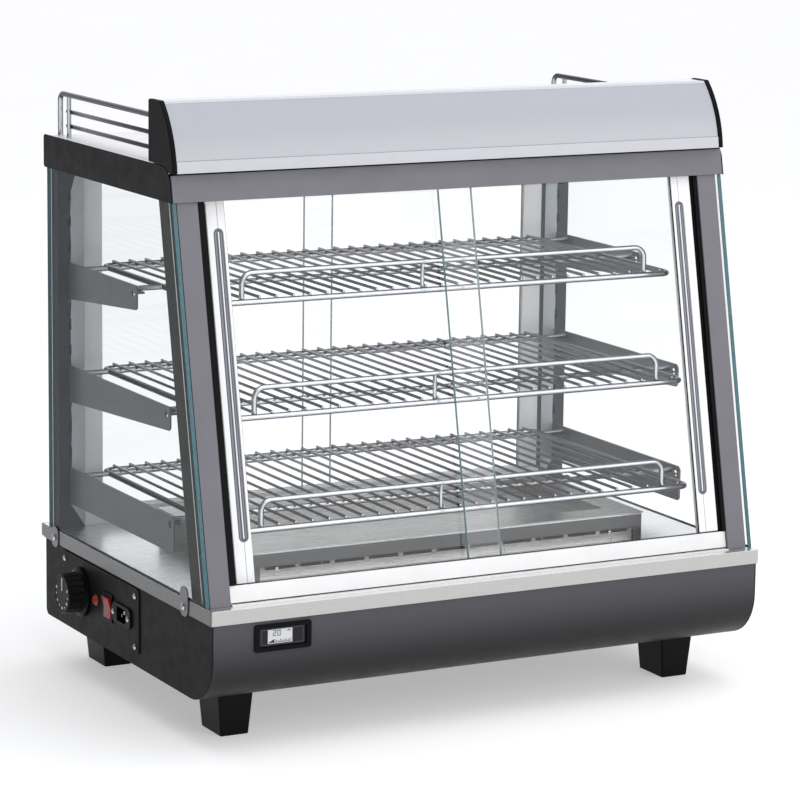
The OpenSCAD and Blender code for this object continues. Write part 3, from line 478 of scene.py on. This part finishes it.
def add_rod(bm, path, radius, sides=14, caps=True, closed=False, material=0):
    """Sweeps a round section along a path, with round ends."""
    path = [Vector(p) for p in path]
    count = len(path)
    tangents = []
    for i in range(count):
        a = path[(i - 1) % count] if closed or i else path[0]
        b = path[(i + 1) % count] if closed or i < count - 1 else path[-1]
        tangents.append((b - a).normalized())
    side = tangents[0].orthogonal().normalized()
    rings = []

    def ring(centre, tangent, r):
        nonlocal side
        side = (side - tangent * side.dot(tangent)).normalized()
        other = tangent.cross(side)
        turn = [2 * math.pi * k / sides for k in range(sides)]
        rings.append([bm.verts.new(centre + (side * math.cos(t) + other * math.sin(t)) * r) for t in turn])

    dome = [0.0, 0.45, 0.8]
    if caps and not closed:
        for d in reversed(dome):
            r = radius * math.sqrt(1 - d * d)
            ring(path[0] - tangents[0] * radius * d * 0.6, tangents[0], max(r, radius * 0.3))
    else:
        ring(path[0], tangents[0], radius)
    for i in range(1, count - 1 if not closed else count):
        ring(path[i], tangents[i], radius)
    if caps and not closed:
        for d in dome:
            r = radius * math.sqrt(1 - d * d)
            ring(path[-1] + tangents[-1] * radius * d * 0.6, tangents[-1], max(r, radius * 0.3))
    elif not closed:
        ring(path[-1], tangents[-1], radius)
    pairs = list(zip(rings, rings[1:])) + ([(rings[-1], rings[0])] if closed else [])
    for lower, upper in pairs:
        for k in range(sides):
            f = bm.faces.new([lower[k], lower[(k + 1) % sides], upper[(k + 1) % sides], upper[k]])
            f.material_index = material
    if not closed:
        bm.faces.new(list(reversed(rings[0]))).material_index = material
        bm.faces.new(rings[-1]).material_index = material


def add_block(bm, low, high, material=0, matrix=None):
    made = bmesh.ops.create_cube(bm, size=1.0)["verts"]
    low, high = Vector(low), Vector(high)
    for v in made:
        v.co = Vector((v.co[i] * (high[i] - low[i]) + (low[i] + high[i]) / 2 for i in range(3)))
        if matrix is not None:
            v.co = matrix @ v.co
    for f in {f for v in made for f in v.link_faces}:
        f.material_index = material
    return made


# ---------- cutting and painting faces ----------

def cut(bm, point, normal):
    bmesh.ops.bisect_plane(bm, geom=bm.verts[:] + bm.edges[:] + bm.faces[:],
                           plane_co=Vector(point), plane_no=Vector(normal))


def shaped(node, bm, materials, width, choose=None):
    """Turns a cut copy of a CAD node into its shown piece; choose(face) gives a material index."""
    mesh = into_mesh(bm, node)
    mesh.materials.clear()
    for s in materials:
        mesh.materials.append(MATS[s])
    for p in mesh.polygons:
        p.material_index = 0
    obj = rounded(link(node + "_shape", mesh), width, node)
    if choose:
        for p in obj.data.polygons:
            p.material_index = choose(p)
    return obj


def joined(first, second):
    """Adds the faces of second to first, keeping both sets of materials."""
    bm = bmesh.new()
    bm.from_mesh(first.data)
    kept = len(first.data.materials)
    count = len(bm.faces)
    bm.from_mesh(second.data)
    bm.faces.ensure_lookup_table()
    for f in bm.faces[count:]:
        f.material_index += kept
    for m in second.data.materials:
        first.data.materials.append(m)
    bm.to_mesh(first.data)
    bm.free()
    bpy.data.objects.remove(second)
    return first


# ---------- painted and stainless shells ----------

# radius of each node's rounded edges, in millimetres
EDGE = {
    "base_rear_panel": 0.3, "base_side_left": 0.5, "base_side_right": 0.5,
    "control_panel": 0.45, "canopy_side_left": 0.5, "canopy_side_right": 0.5, "roof_panel": 0.4,
    "light_housing": 0.4, "light_cap_left": 0.8, "light_cap_right": 0.8,
    "front_bottom_track": 0.4, "front_top_track": 0.4,
    "rear_bottom_track": 0.4, "rear_top_track": 0.4, "shelf_brackets": 0.45, "water_tray": 0.4,
    "element_supports": 0.3, "switch_housing": 0.5, "thermometer_bezel": 0.9,
    "foot_front_left": 0.8, "foot_front_right": 0.8, "foot_rear_left": 0.8, "foot_rear_right": 0.8,
    "panel_screws": 0.15, "thermostat_body": 0.4, "lamp_tube": 0.5, "foot_bolts": 0.3,
    "thermostat_shaft": 0.2, "heating_element": 0.3,
}

# nodes whose broad flat faces each keep a single normal
SHEETS = {"base_rear_panel", "base_side_left", "base_side_right", "control_panel", "canopy_side_left",
          "canopy_side_right", "roof_panel", "light_housing", "light_cap_left", "light_cap_right",
          "rear_standard_left", "rear_standard_right", "shelf_brackets", "deck_pan", "heater_cover",
          "water_tray"}


def shells():
    """Plain shells in one finish each, and rear standards in lit and shaded copies of one paint: a paler inner
    front face as painted light, the rest dark as painted shade.
    """
    for node, width in EDGE.items():
        finer(node, width * MM)
    for node in ("rear_standard_left", "rear_standard_right"):
        low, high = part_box(node)
        fold = abs(low.x + high.x) / 2

        # inner front faces get the lit copy, every other face the shaded copy
        def lit_inner_face(p, fold=fold):
            return int(abs(p.center.x) < fold and abs(p.normal.y) > 0.7)
        stand_for(shaped(node, clean_copy(node), ["standard_side", "standard_face"], 0.6 * MM, lit_inner_face), node)


def band():
    """The front band, with a dark upright strip behind the light box's lip as painted shadow for the line
    between the lip and the band.
    """
    low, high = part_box("canopy_front_band")
    obj = finer("canopy_front_band", 0.4 * MM, ["post_grey"])
    y, z = high.y - 6.5 * MM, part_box("light_diffuser")[0].z + 2.5 * MM
    # a dark strip behind the lip, painted shadow for the line between the lip and the band
    bm = bmesh.new()
    add_block(bm, (low.x + 2 * MM, y - 0.6 * MM, high.z - 2 * MM), (high.x - 2 * MM, y + 0.6 * MM, z))
    joined(obj, mesh_piece("band_shadow_strip", bm, ["seal_rubber"], False))


# ---------- posts, with the painted shade and highlight strips seen through the side panes ---

def posts():
    """The side of a post is painted shade: a near-black painted shadow along its front, then a pale painted
    highlight line, then a darker shaded copy of the post's grey.
    """
    dark_depth, line_depth = 18 * MM, 20 * MM
    across = LEANING.to_3x3() @ Vector((0, 1, 0))
    tones = ["post_grey", "post_side", "post_strip", "light_strip"]
    for side, outward in (("left", -1), ("right", 1)):
        node = "front_post_" + side
        bm = clean_copy(node)
        for depth in (dark_depth, line_depth):
            cut(bm, LEANING @ Vector((0, depth, 0)), across)

        def tone(p, outward=outward):
            if p.normal.x * outward < 0.8:
                return 0
            depth = (UPRIGHT @ p.center).y
            return 2 if depth < dark_depth else 3 if depth < line_depth else 1
        stand_for(shaped(node, bm, tones, 0.5 * MM, tone), node)


# ---------- base, deck and light box faces ----------

def base_and_deck():
    """Dark wrap of the base with painted shade towards its bottom, and a steel deck whose top is a paler painted
    highlight and whose left rim is a darker painted reflection.
    """
    finer("base_wrap", 0.4 * MM, ["front_paint"])
    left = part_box("deck_pan")[0].x

    def side(p):
        if p.normal.z > 0.9 and p.center.z > DECK_Z - 3 * MM:
            return 2
        return 1 if p.normal.x < -0.7 and p.center.x < left + MM else 0
    stand_for(shaped("deck_pan", clean_copy("deck_pan"), ["stainless", "side_steel", "deck_steel"],
                     0.5 * MM, side), "deck_pan")


def diffuser():
    """Opal front of the light box, painted darker towards the top as painted shade, with pale painted highlight
    strips along its top and its bottom and a painted shadow line beside each.
    """
    low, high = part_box("light_diffuser")
    lip = low.z + 12.05 * MM
    lip_line = lip + 0.75 * MM
    strip = high.z - 2.2 * MM
    strip_line = strip - 0.5 * MM
    bm = clean_copy("light_diffuser")
    for z in (lip, lip_line, strip_line, strip):
        cut(bm, (0, 0, z), (0, 0, 1))

    def region(p):
        z = p.center.z
        if z > strip or z < lip:
            return 1
        return 2 if z > strip_line or z < lip_line else 0
    obj = shaped("light_diffuser", bm, ["diffuser", "opal_edge", "opal_line"], 0.3 * MM, region)
    stand_for(obj, "light_diffuser")


# ---------- door handles ----------

def handles():
    """Door bars, each with a ribbed finger slot in darker greys as painted shade, a painted shadow line on the
    bar's face, and a thin gasket on its pane.
    """
    slot_x, inner_x, slot_half = 282.6 * MM, 274 * MM, 0.3 * MM
    for where in ("front", "rear"):
        for side, s in (("left", -1), ("right", 1)):
            node = f"{where}_door_handle_{side}"
            into = UPRIGHT if where == "front" else Matrix.Identity(4)
            back = into.inverted()
            face = 1 if where == "front" else -1
            local = [into @ v.co for v in nodes[node].data.vertices]
            ys = [p.y for p in local]
            zs = [p.z for p in local]
            y_face = min(ys) if face > 0 else max(ys)
            x_slot, x_in = slot_x * s, inner_x * s
            slot = [p.z for p in local if abs(p.x - x_slot) < 2 * MM and min(zs) + MM < p.z < max(zs) - MM]
            slot_low, slot_high = min(slot), max(slot)
            bm = clean_copy(node)
            for x in (x_slot - slot_half, x_slot + slot_half):
                cut(bm, back @ Vector((x, 0, 0)), (1, 0, 0))

            # a painted shadow line along the slot on the bar's face
            def line(p, into=into, x_slot=x_slot, y_face=y_face, face=face):
                at = into @ p.center
                return int(abs(at.x - x_slot) < slot_half and abs(at.y - y_face) < 0.1 * MM)
            obj = shaped(node, bm, ["handle_alloy", "groove_grey"], 0.5 * MM, line)
            more = bmesh.new()
            depth = 1.6 * MM * face
            reach = 5.45 * MM
            outline = []
            for end, turn in ((slot_high - reach, 0), (slot_low + reach, math.pi)):
                for i in range(13):
                    t = turn + math.pi * i / 12
                    outline.append((x_slot + reach * math.cos(t), end + reach * 1.02 * math.sin(t)))
            y0, y1 = y_face + depth, y_face + depth + 0.15 * MM * face
            rings = [[more.verts.new(back @ Vector((x, y, z))) for x, z in outline] for y in (y0, y1)]
            more.faces.new(rings[0])
            more.faces.new(list(reversed(rings[1])))
            for i in range(len(outline)):
                k = (i + 1) % len(outline)
                more.faces.new([rings[0][i], rings[0][k], rings[1][k], rings[1][i]])
            # the ribs' darker greys are painted shade inside the slot
            for x, half, rise, mat in ((-3.4, 1.0, 0.9, 1), (0.2, 0.65, 1.3, 2), (3.1, 0.8, 0.7, 1)):
                a = Vector((x_slot + (x - half) * MM, min(y0, y0 - rise * MM * face), slot_low + 4 * MM))
                b = Vector((x_slot + (x + half) * MM, max(y0, y0 - rise * MM * face), slot_high - 4 * MM))
                add_block(more, a, b, mat, back)
            ribs = mesh_piece(node + "_ribs", more, ["slot_grey", "groove_grey", "handle_alloy"], False)
            gasket = bmesh.new()
            glass_y = y_face + 1.8 * MM * face
            gx = sorted((x_in, x_in - 0.7 * MM * s))
            gy = sorted((glass_y, glass_y - 0.9 * MM * face))
            add_block(gasket, (gx[0], gy[0], min(zs)), (gx[1], gy[1], max(zs)), 0, back)
            strip = mesh_piece(node + "_gasket", gasket, ["seal_rubber"], False)
            stand_for(joined(joined(obj, ribs), strip), node)


# ---------- brush seals ----------

def seals():
    """Brush seals: rubber backs with tufts beside the doors, tufts along the bottom track, and a black strip
    under the track as painted shadow.
    """
    points = [UPRIGHT @ v.co for v in nodes["jamb_seals"].data.vertices]
    s0, s1 = min(p.z for p in points), max(p.z for p in points)
    inner = min(abs(p.x) for p in points)
    bm = bmesh.new()
    pile, pitch = 1.0 * MM, 1.9 * MM
    for sign in (-1, 1):
        outer = max(p.x * sign for p in points)
        for x0, d0, d1 in ((inner + pile, 4.3 * MM, 21.3 * MM), (inner + 3.2 * MM, 1.5 * MM, 4.3 * MM)):
            a, b = sorted((sign * x0, sign * outer))
            add_block(bm, (a, d0, s0), (b, d1, s1), 0, LEANING)
        count = int((s1 - s0 - MM) / pitch)
        for k in range(count):
            z = s0 + 0.3 * MM + k * pitch
            a, b = sorted((sign * inner, sign * (inner + pile + 0.2 * MM)))
            add_block(bm, (a, 4.0 * MM, z), (b, 9.0 * MM, z + 1.15 * MM), 1, LEANING)
    obj = mesh_piece("jamb_seals_shape", bm, ["seal_rubber", "pile"], False)
    stand_for(obj, "jamb_seals")

    points = [UPRIGHT @ v.co for v in nodes["front_bottom_track"].data.vertices]
    top = max(p.z for p in points)
    front = min(p.y for p in points)
    x0, x1 = min(p.x for p in points), max(p.x for p in points)
    bm = bmesh.new()
    pitch, tuft = 3.0 * MM, 1.9 * MM
    y0, y1 = front + 0.8 * MM, front + 1.5 * MM
    for k in range(int((x1 - x0 - 4 * MM) / pitch)):
        x = x0 + 2 * MM + k * pitch
        add_block(bm, (x, y0, top - 0.5 * MM), (x + tuft, y1, top + 1.5 * MM), 0, LEANING)
    add_block(bm, (x0 + MM, y0, top - 0.6 * MM), (x1 - MM, y1, top + 0.5 * MM), 0, LEANING)
    # a black strip in the gap between the track and the deck, painted shadow for the dark gap
    add_block(bm, (x0 + 0.5 * MM, front + 0.9 * MM, 0.4 * MM), (x1 - 0.5 * MM, front + 3.5 * MM, 3.1 * MM),
              0, LEANING)
    ride_with(mesh_piece("track_pile_and_gap_shade", bm, ["pile"], False), "jamb_seals")


# ---------- controls ----------

def knob():
    """Fluted grip on a skirt; its dished face carries a pointer and a ring of marks."""
    low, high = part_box("thermostat_knob")
    face_x, back_x = low.x, high.x
    cy, cz = (low.y + high.y) / 2, (low.z + high.z) / 2
    skirt = (high.z - low.z) / 2
    grip = skirt * 47 / 56
    tall = back_x - face_x
    flutes, flute_depth, segments = 18, 0.55 * MM, 180
    # distance from the panel side, radius, and share of the flutes' depth
    profile = [(0, skirt - 0.8 * MM, 0), (0.5 * MM, skirt - 0.2 * MM, 0), (1.0 * MM, skirt, 0),
               (2.6 * MM, skirt - 0.05 * MM, 0), (3.2 * MM, skirt - 0.7 * MM, 0),
               (3.6 * MM, skirt - 2.2 * MM, 0), (4.0 * MM, grip + 0.9 * MM, 0),
               (4.4 * MM, grip + 0.1 * MM, 0.2), (5.2 * MM, grip - 0.3 * MM, 0.9),
               (tall - 2.0 * MM, grip - 0.9 * MM, 0.9), (tall - 1.0 * MM, grip - 1.2 * MM, 0.7),
               (tall - 0.4 * MM, grip - 1.8 * MM, 0.3), (tall - 0.05 * MM, grip - 2.5 * MM, 0),
               (tall, grip - 3.0 * MM, 0), (tall - 0.1 * MM, grip - 3.5 * MM, 0),
               (tall - 0.4 * MM, grip - 3.9 * MM, 0)]
    bm = bmesh.new()
    rings = []
    for out, radius, share in profile:
        ring = []
        for i in range(segments):
            t = 2 * math.pi * i / segments
            r = radius - share * flute_depth * max(0.0, math.cos(flutes * t)) ** 2
            ring.append(bm.verts.new((back_x - out, cy + r * math.sin(t), cz + r * math.cos(t))))
        rings.append(ring)
    for lower, upper in zip(rings, rings[1:]):
        for i in range(segments):
            k = (i + 1) % segments
            bm.faces.new([lower[i], lower[k], upper[k], upper[i]])
    bm.faces.new(rings[0])
    bm.faces.new(list(reversed(rings[-1])))
    floor_x = face_x + 0.4 * MM
    mark_top = floor_x + 0.2 * MM
    add_block(bm, (floor_x - 0.3 * MM, cy - 0.75 * MM, cz + 3.5 * MM),
              (mark_top, cy + 0.75 * MM, cz + 18 * MM), 1)
    first_mark, mark_step, mark_radius = 70, 27.5, 16.2 * MM
    for i in range(9):
        angle = -math.radians(first_mark + i * mark_step)
        turn = Matrix.Translation((0, cy, cz)) @ Matrix.Rotation(angle, 4, "X")
        half = 1.5 * MM if i % 2 == 0 else 0.9 * MM
        inside = floor_x - 0.25 * MM
        add_block(bm, (inside, -0.6 * MM, mark_radius - half),
                  (mark_top, 0.6 * MM, mark_radius + half), 1, turn)
        if i % 2 == 0:
            add_block(bm, (inside, 0.9 * MM, 15.4 * MM), (mark_top, 1.7 * MM, 17.4 * MM), 1, turn)
    obj = mesh_piece("thermostat_knob_shape", bm, ["black_plastic", "white_mark"])
    stand_for(soft_normals(obj, 28), "thermostat_knob")


def clips():
    """Ears and corner clips in a darker copy of their steel than the screws, painted shade for the dark the ears
    reflect.
    """
    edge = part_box("deck_pan")[1]
    ear = 1.35 * MM

    def screw(p):
        return int(abs(p.center.x) - edge.x > ear or p.center.y - edge.y > ear)
    stand_for(shaped("glass_clips", clean_copy("glass_clips"), ["clip_steel", "zinc"], 0.25 * MM, screw),
              "glass_clips")


def small_controls():
    """Lamp, rocker, and the mains inlet with its three pins."""
    finer("indicator_lamp", 0.5 * MM)
    finer("switch_rocker", 0.7 * MM)
    low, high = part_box("mains_inlet")
    mid_y, mid_z = (low.y + high.y) / 2, (low.z + high.z) / 2
    pin_pitch, pin_half_y, pin_half_z = 7 * MM, 1.1 * MM, 4.2 * MM

    def pin(p):
        c = p.center
        near = min(abs(c.y - mid_y - k * pin_pitch) for k in (-1, 0, 1))
        return int(low.x + 3 * MM < c.x < low.x + 17 * MM and near < pin_half_y
                   and abs(c.z - mid_z) < pin_half_z)
    stand_for(shaped("mains_inlet", clean_copy("mains_inlet"), ["black_plastic", "copper_pin"],
                     0.35 * MM, pin), "mains_inlet")


def thermometer():
    """Dark face with a pale window, bar marks in the window and a fine border."""
    low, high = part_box("thermometer_display")
    x0, x1 = -272.8 * MM, -244.2 * MM      # the window's ends
    front = low.y

    def light(p):
        c = p.center
        return int(x0 - 0.4 * MM < c.x < x1 + 0.4 * MM and front + 0.1 * MM < c.y < high.y - 0.2 * MM
                   and abs(p.normal.y) > 0.9 and low.z + 1.5 * MM < c.z < high.z - 1.5 * MM)
    obj = shaped("thermometer_display", clean_copy("thermometer_display"), ["dark_face", "window_light"],
                 0.12 * MM, light)
    face_y = front + 0.4 * MM
    z0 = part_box("thermometer_bezel")[0].z + 7.4 * MM
    marks = bmesh.new()

    def mark(ax, az, bx, bz):
        add_block(marks, (x0 + ax * MM, face_y - 0.12 * MM, z0 + az * MM),
                  (x0 + bx * MM, face_y + 0.1 * MM, z0 + bz * MM))
    # a short reading, made of bars only
    for bar in ((6, 13.6, 9.5, 14.3), (8.9, 10.9, 9.6, 14.0), (6, 10.8, 9.3, 11.5), (6, 8.4, 6.7, 11.2),
                (6, 8.1, 9.6, 8.8), (11.2, 8.1, 11.9, 14.3), (14, 8.1, 14.7, 14.3),
                (11.2, 13.6, 14.7, 14.3), (11.2, 8.1, 14.7, 8.8), (24.2, 12.6, 25, 14.6),
                (22.4, 12.4, 26.6, 13.1)):
        mark(*bar)
    # scale bars
    mark(1.2, 0.9, 27, 1.3)
    for k in range(13):
        mark(8.5 + k * 1.5, 1.2, 9.0 + k * 1.5, 4.6 if k % 4 == 0 else 3.0 + 0.35 * (k % 3))
    # wedge at the scale's start
    for k in range(8):
        mark(1.2 + k * 0.8, 1.2, 2.0 + k * 0.8, 1.8 + k * 0.42)
    marks_piece = mesh_piece("display_marks", marks, ["window_mark"], False)
    # a fine border round the face
    rim = bmesh.new()
    lx, hx, lz, hz = low.x + 2.6 * MM, high.x - 2.6 * MM, low.z + 1.4 * MM, high.z - 1.4 * MM
    t = 0.35 * MM
    for a, b in (((lx, lz), (hx, lz + t)), ((lx, hz - t), (hx, hz)),
                 ((lx, lz), (lx + t, hz)), ((hx - t, lz), (hx, hz))):
        add_block(rim, (a[0], front - 0.08 * MM, a[1]), (b[0], front + 0.1 * MM, b[1]))
    rim_piece = mesh_piece("display_border", rim, ["slot_grey"], False)
    stand_for(joined(joined(obj, marks_piece), rim_piece), "thermometer_display")


# ---------- heater ----------

def heater():
    """Cover with screws on its panel and painted light on its steel: a paler painted highlight on its top and
    lip, a darker painted-shade fascia and darker painted-shade end columns.
    """
    low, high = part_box("heater_cover")
    bm = clean_copy("heater_cover")
    groove_z = low.z + 16.2 * MM
    lip_z = high.z - 1.6 * MM
    for z in (lip_z, groove_z):
        cut(bm, (0, 0, z), (0, 0, 1))

    def region(p):
        c, flat = p.center, abs(p.normal.y) > 0.7
        if p.normal.z > 0.9 or flat and c.z > lip_z:
            return 3
        if not flat or low.y + 0.5 * MM <= c.y <= high.y - 0.5 * MM:
            return 0
        return 2 if c.z < groove_z else 1
    obj = shaped("heater_cover", bm, ["stainless", "fascia_steel", "column_steel", "deck_steel"],
                 0.4 * MM, region)
    screws = bmesh.new()
    panel_y = low.y + 3 * MM
    head_flat = 0.4
    for x, heights in ((-214, (4.2, 11)), (-70, (4.2,)), (70, (4.2,)), (205, (4.2, 11))):
        for z in heights:
            head = bmesh.ops.create_uvsphere(screws, u_segments=16, v_segments=8, radius=2.4 * MM)["verts"]
            for v in head:
                v.co = Vector((x * MM + v.co.x, panel_y + v.co.y * head_flat, low.z + z * MM + v.co.z))
    stand_for(joined(obj, mesh_piece("cover_screws", screws, ["zinc"])), "heater_cover")


# ---------- glass ----------

def panes():
    """Clear panes, each with its ground edges in a tint of its own."""
    for node, edge in (("side_glass_left", "side_edge"), ("side_glass_right", "side_edge"),
                       ("front_door_glass_left", "door_edge"), ("front_door_glass_right", "door_edge"),
                       ("rear_door_glass_left", "door_edge"), ("rear_door_glass_right", "door_edge")):
        bm = clean_copy(node)
        broad = max(bm.faces, key=lambda f: f.calc_area()).normal.copy()

        def ground(p, broad=broad):
            return int(abs(p.normal.dot(broad)) <= 0.98)
        stand_for(shaped(node, bm, [SLOT_OF[node], edge], 0.5 * MM, ground), node)


# ---------- wire work ----------

def shelves():
    """Wire shelves: a rail round the edge, wires front to back, two cross rods and a front guard."""
    rail, wire, rod, post = 3.3 * MM, 1.7 * MM, 3.0 * MM, 2.3 * MM      # radii
    rail_x, guard_x, post_x = 283 * MM, 250 * MM, -33 * MM
    guard_rise, wire_pitch = 31 * MM, 20
    for node in ("shelf_top", "shelf_middle", "shelf_bottom"):
        low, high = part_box(node)
        z = high.z - guard_rise - rod
        y0 = low.y + rail
        y1 = high.y - 2 * MM
        corner = 10 * MM
        bm = bmesh.new()
        loop = [(-rail_x, y0), (rail_x, y0), (rail_x, y1), (-rail_x, y1)]
        ring = []
        for i, p in enumerate(loop):
            a, b, c = loop[i - 1], p, loop[(i + 1) % 4]
            ring += [Vector(q) for q in bent_path([(*a, z), (*b, z), (*c, z)], corner)[1:-1]]
        add_rod(bm, ring, rail, 18, closed=True)
        wire_z = z + rail + wire - 0.5 * MM
        for k in range(-14, 14):
            x = (k + 0.5) * wire_pitch * MM
            add_rod(bm, [(x, y0 + 0.4 * MM, wire_z), (x, y1 + 1.4 * MM, wire_z)], wire, 12)
        for y in cross_rods(node):
            end = high.x - rod * 0.5
            add_rod(bm, [(-end, y, z + 0.2 * MM), (end, y, z + 0.2 * MM)], rod, 14)
        guard_y, guard_z = y0 + 3 * MM, z + guard_rise
        frame_path = bent_path([(-guard_x, guard_y, z), (-guard_x, guard_y, guard_z),
                                (guard_x, guard_y, guard_z), (guard_x, guard_y, z)], 12 * MM)
        add_rod(bm, frame_path, rod, 16)
        add_rod(bm, [(post_x, guard_y, z), (post_x, guard_y, guard_z)], post, 12)
        obj = mesh_piece(node + "_shape", bm, ["chrome_wire"])
        stand_for(soft_normals(obj, 50), node)


def cross_rods(node):
    """Depths of a shelf's two cross rods, from the CAD mesh's outermost points."""
    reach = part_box(node)[1].x
    ys = sorted(v.co.y for v in nodes[node].data.vertices if v.co.x > reach - 0.02 * MM)
    split = (ys[0] + ys[-1]) / 2
    front = [y for y in ys if y < split]
    back = [y for y in ys if y >= split]
    return (front[0] + front[-1]) / 2, (back[0] + back[-1]) / 2


def galleries():
    """Roof galleries: a bent top rod with a rear leg, a second post and two thinner rails inside."""
    frame_x, rail_in, post_gap, rail_end = 321 * MM, 3.5 * MM, 25 * MM, 13.5 * MM
    for side, s in (("left", -1), ("right", 1)):
        node = "gallery_" + side
        low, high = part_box(node)
        x = s * frame_x
        rail_x = x - s * rail_in
        top, thin = 3.0 * MM, 2.5 * MM
        y0, y1 = low.y, high.y - top
        z0, z1 = low.z, high.z - top
        bm = bmesh.new()
        add_rod(bm, bent_path([(x, y0, z1), (x, y1, z1), (x, y1, z0)], 9 * MM, 10), top, 16, caps=False)
        add_rod(bm, [(x, y1 - post_gap, z0), (x, y1 - post_gap, z1)], thin, 14, caps=False)
        for up in (10, 26):
            z = ROOF_Z + up * MM
            add_rod(bm, [(rail_x, y0 + thin, z), (rail_x, y1 - rail_end, z)], thin, 14)
        obj = mesh_piece(node + "_shape", bm, ["chrome_wire"])
        stand_for(soft_normals(obj, 50), node)


# ---------- the stage, the light and the camera ----------

def stage():
    """A wide pale floor that glows a little, so that it meets the white background."""
    bm = bmesh.new()
    half = 30.0
    corners = [bm.verts.new((x * half, y * half, 0)) for x, y in ((-1, -1), (1, -1), (1, 1), (-1, 1))]
    bm.faces.new(corners)
    mesh = bpy.data.meshes.new("floor")
    bm.to_mesh(mesh)
    bm.free()
    floor = link("floor", mesh)
    p = Paint("floor", (0.66, 0.66, 0.664), 0.75)
    p.set("Specular IOR Level", 0.2)
    p.set("Emission Color", (1.0, 1.0, 1.0, 1.0))
    p.set("Emission Strength", 0.40)
    p.vary_rough(p.noise(3.0), 0.7, 0.85)
    mesh.materials.append(p.mat)


def world():
    w = bpy.data.worlds.new("studio")
    scene.world = w
    w.use_nodes = True
    tree = w.node_tree
    back = tree.nodes["Background"]
    back.inputs["Color"].default_value = (0.97, 0.98, 1.0, 1)
    # bright all round, and dim on the left
    way = tree.nodes.new("ShaderNodeTexCoord")
    axes = tree.nodes.new("ShaderNodeSeparateXYZ")
    dim = tree.nodes.new("ShaderNodeMapRange")
    dim.interpolation_type = "SMOOTHSTEP"
    for key, value in (("From Min", -0.85), ("From Max", -0.05), ("To Min", 0.10), ("To Max", 1.08)):
        dim.inputs[key].default_value = value
    tree.links.new(way.outputs["Generated"], axes.inputs["Vector"])
    tree.links.new(axes.outputs["X"], dim.inputs["Value"])
    tree.links.new(dim.outputs["Result"], back.inputs["Strength"])


def softbox(name, place, target, size, power, color=(1, 1, 1)):
    data = bpy.data.lights.new(name, "AREA")
    data.shape = "RECTANGLE"
    data.size, data.size_y = size
    data.energy = power
    data.color = color
    lamp = bpy.data.objects.new(name, data)
    lamp.location = place
    lamp.rotation_euler = (Vector(target) - Vector(place)).to_track_quat("-Z", "Y").to_euler()
    scene.collection.objects.link(lamp)


def lights():
    centre = (0, 0, 0.3)
    softbox("top_softbox", (0.2, -0.5, 2.6), centre, (3.0, 2.4), 26)
    softbox("front_softbox", (1.6, -3.2, 1.6), centre, (2.6, 2.0), 22)


def camera():
    azimuth, elevation, roll = math.radians(-28.09), math.radians(10.71), math.radians(0.76)
    focal_share = 4.2394          # focal length over the frame's width
    distance = 3.8407
    target = Vector((0.00668, 0.010, 0.31318))
    back = Vector((math.sin(azimuth) * math.cos(elevation),
                   -math.cos(azimuth) * math.cos(elevation), math.sin(elevation)))
    right = Vector((math.cos(azimuth), math.sin(azimuth), 0))
    up = back.cross(right)
    turned_right = right * math.cos(roll) + up * math.sin(roll)
    turned_up = up * math.cos(roll) - right * math.sin(roll)
    data = bpy.data.cameras.new("camera")
    data.sensor_width = 36
    data.lens = 36 * focal_share
    data.clip_end = 100
    cam = bpy.data.objects.new("camera", data)
    turn = Matrix((turned_right, turned_up, back)).transposed().to_4x4()
    cam.matrix_world = Matrix.Translation(target + back * distance) @ turn
    scene.collection.objects.link(cam)
    scene.camera = cam


# ---------- build ----------

for name, obj in nodes.items():
    obj.data.materials.clear()
    obj.data.materials.append(MATS[SLOT_OF[name]])
    for polygon in obj.data.polygons:
        polygon.use_smooth = True
    soft_normals(obj, 30)

stage()
world()
lights()
camera()
shells()
band()
base_and_deck()
diffuser()
posts()
handles()
seals()
knob()
clips()
small_controls()
thermometer()
heater()
panes()
shelves()
galleries()

scene.view_settings.view_transform = "Standard"
scene.cycles.transparent_max_bounces = 32
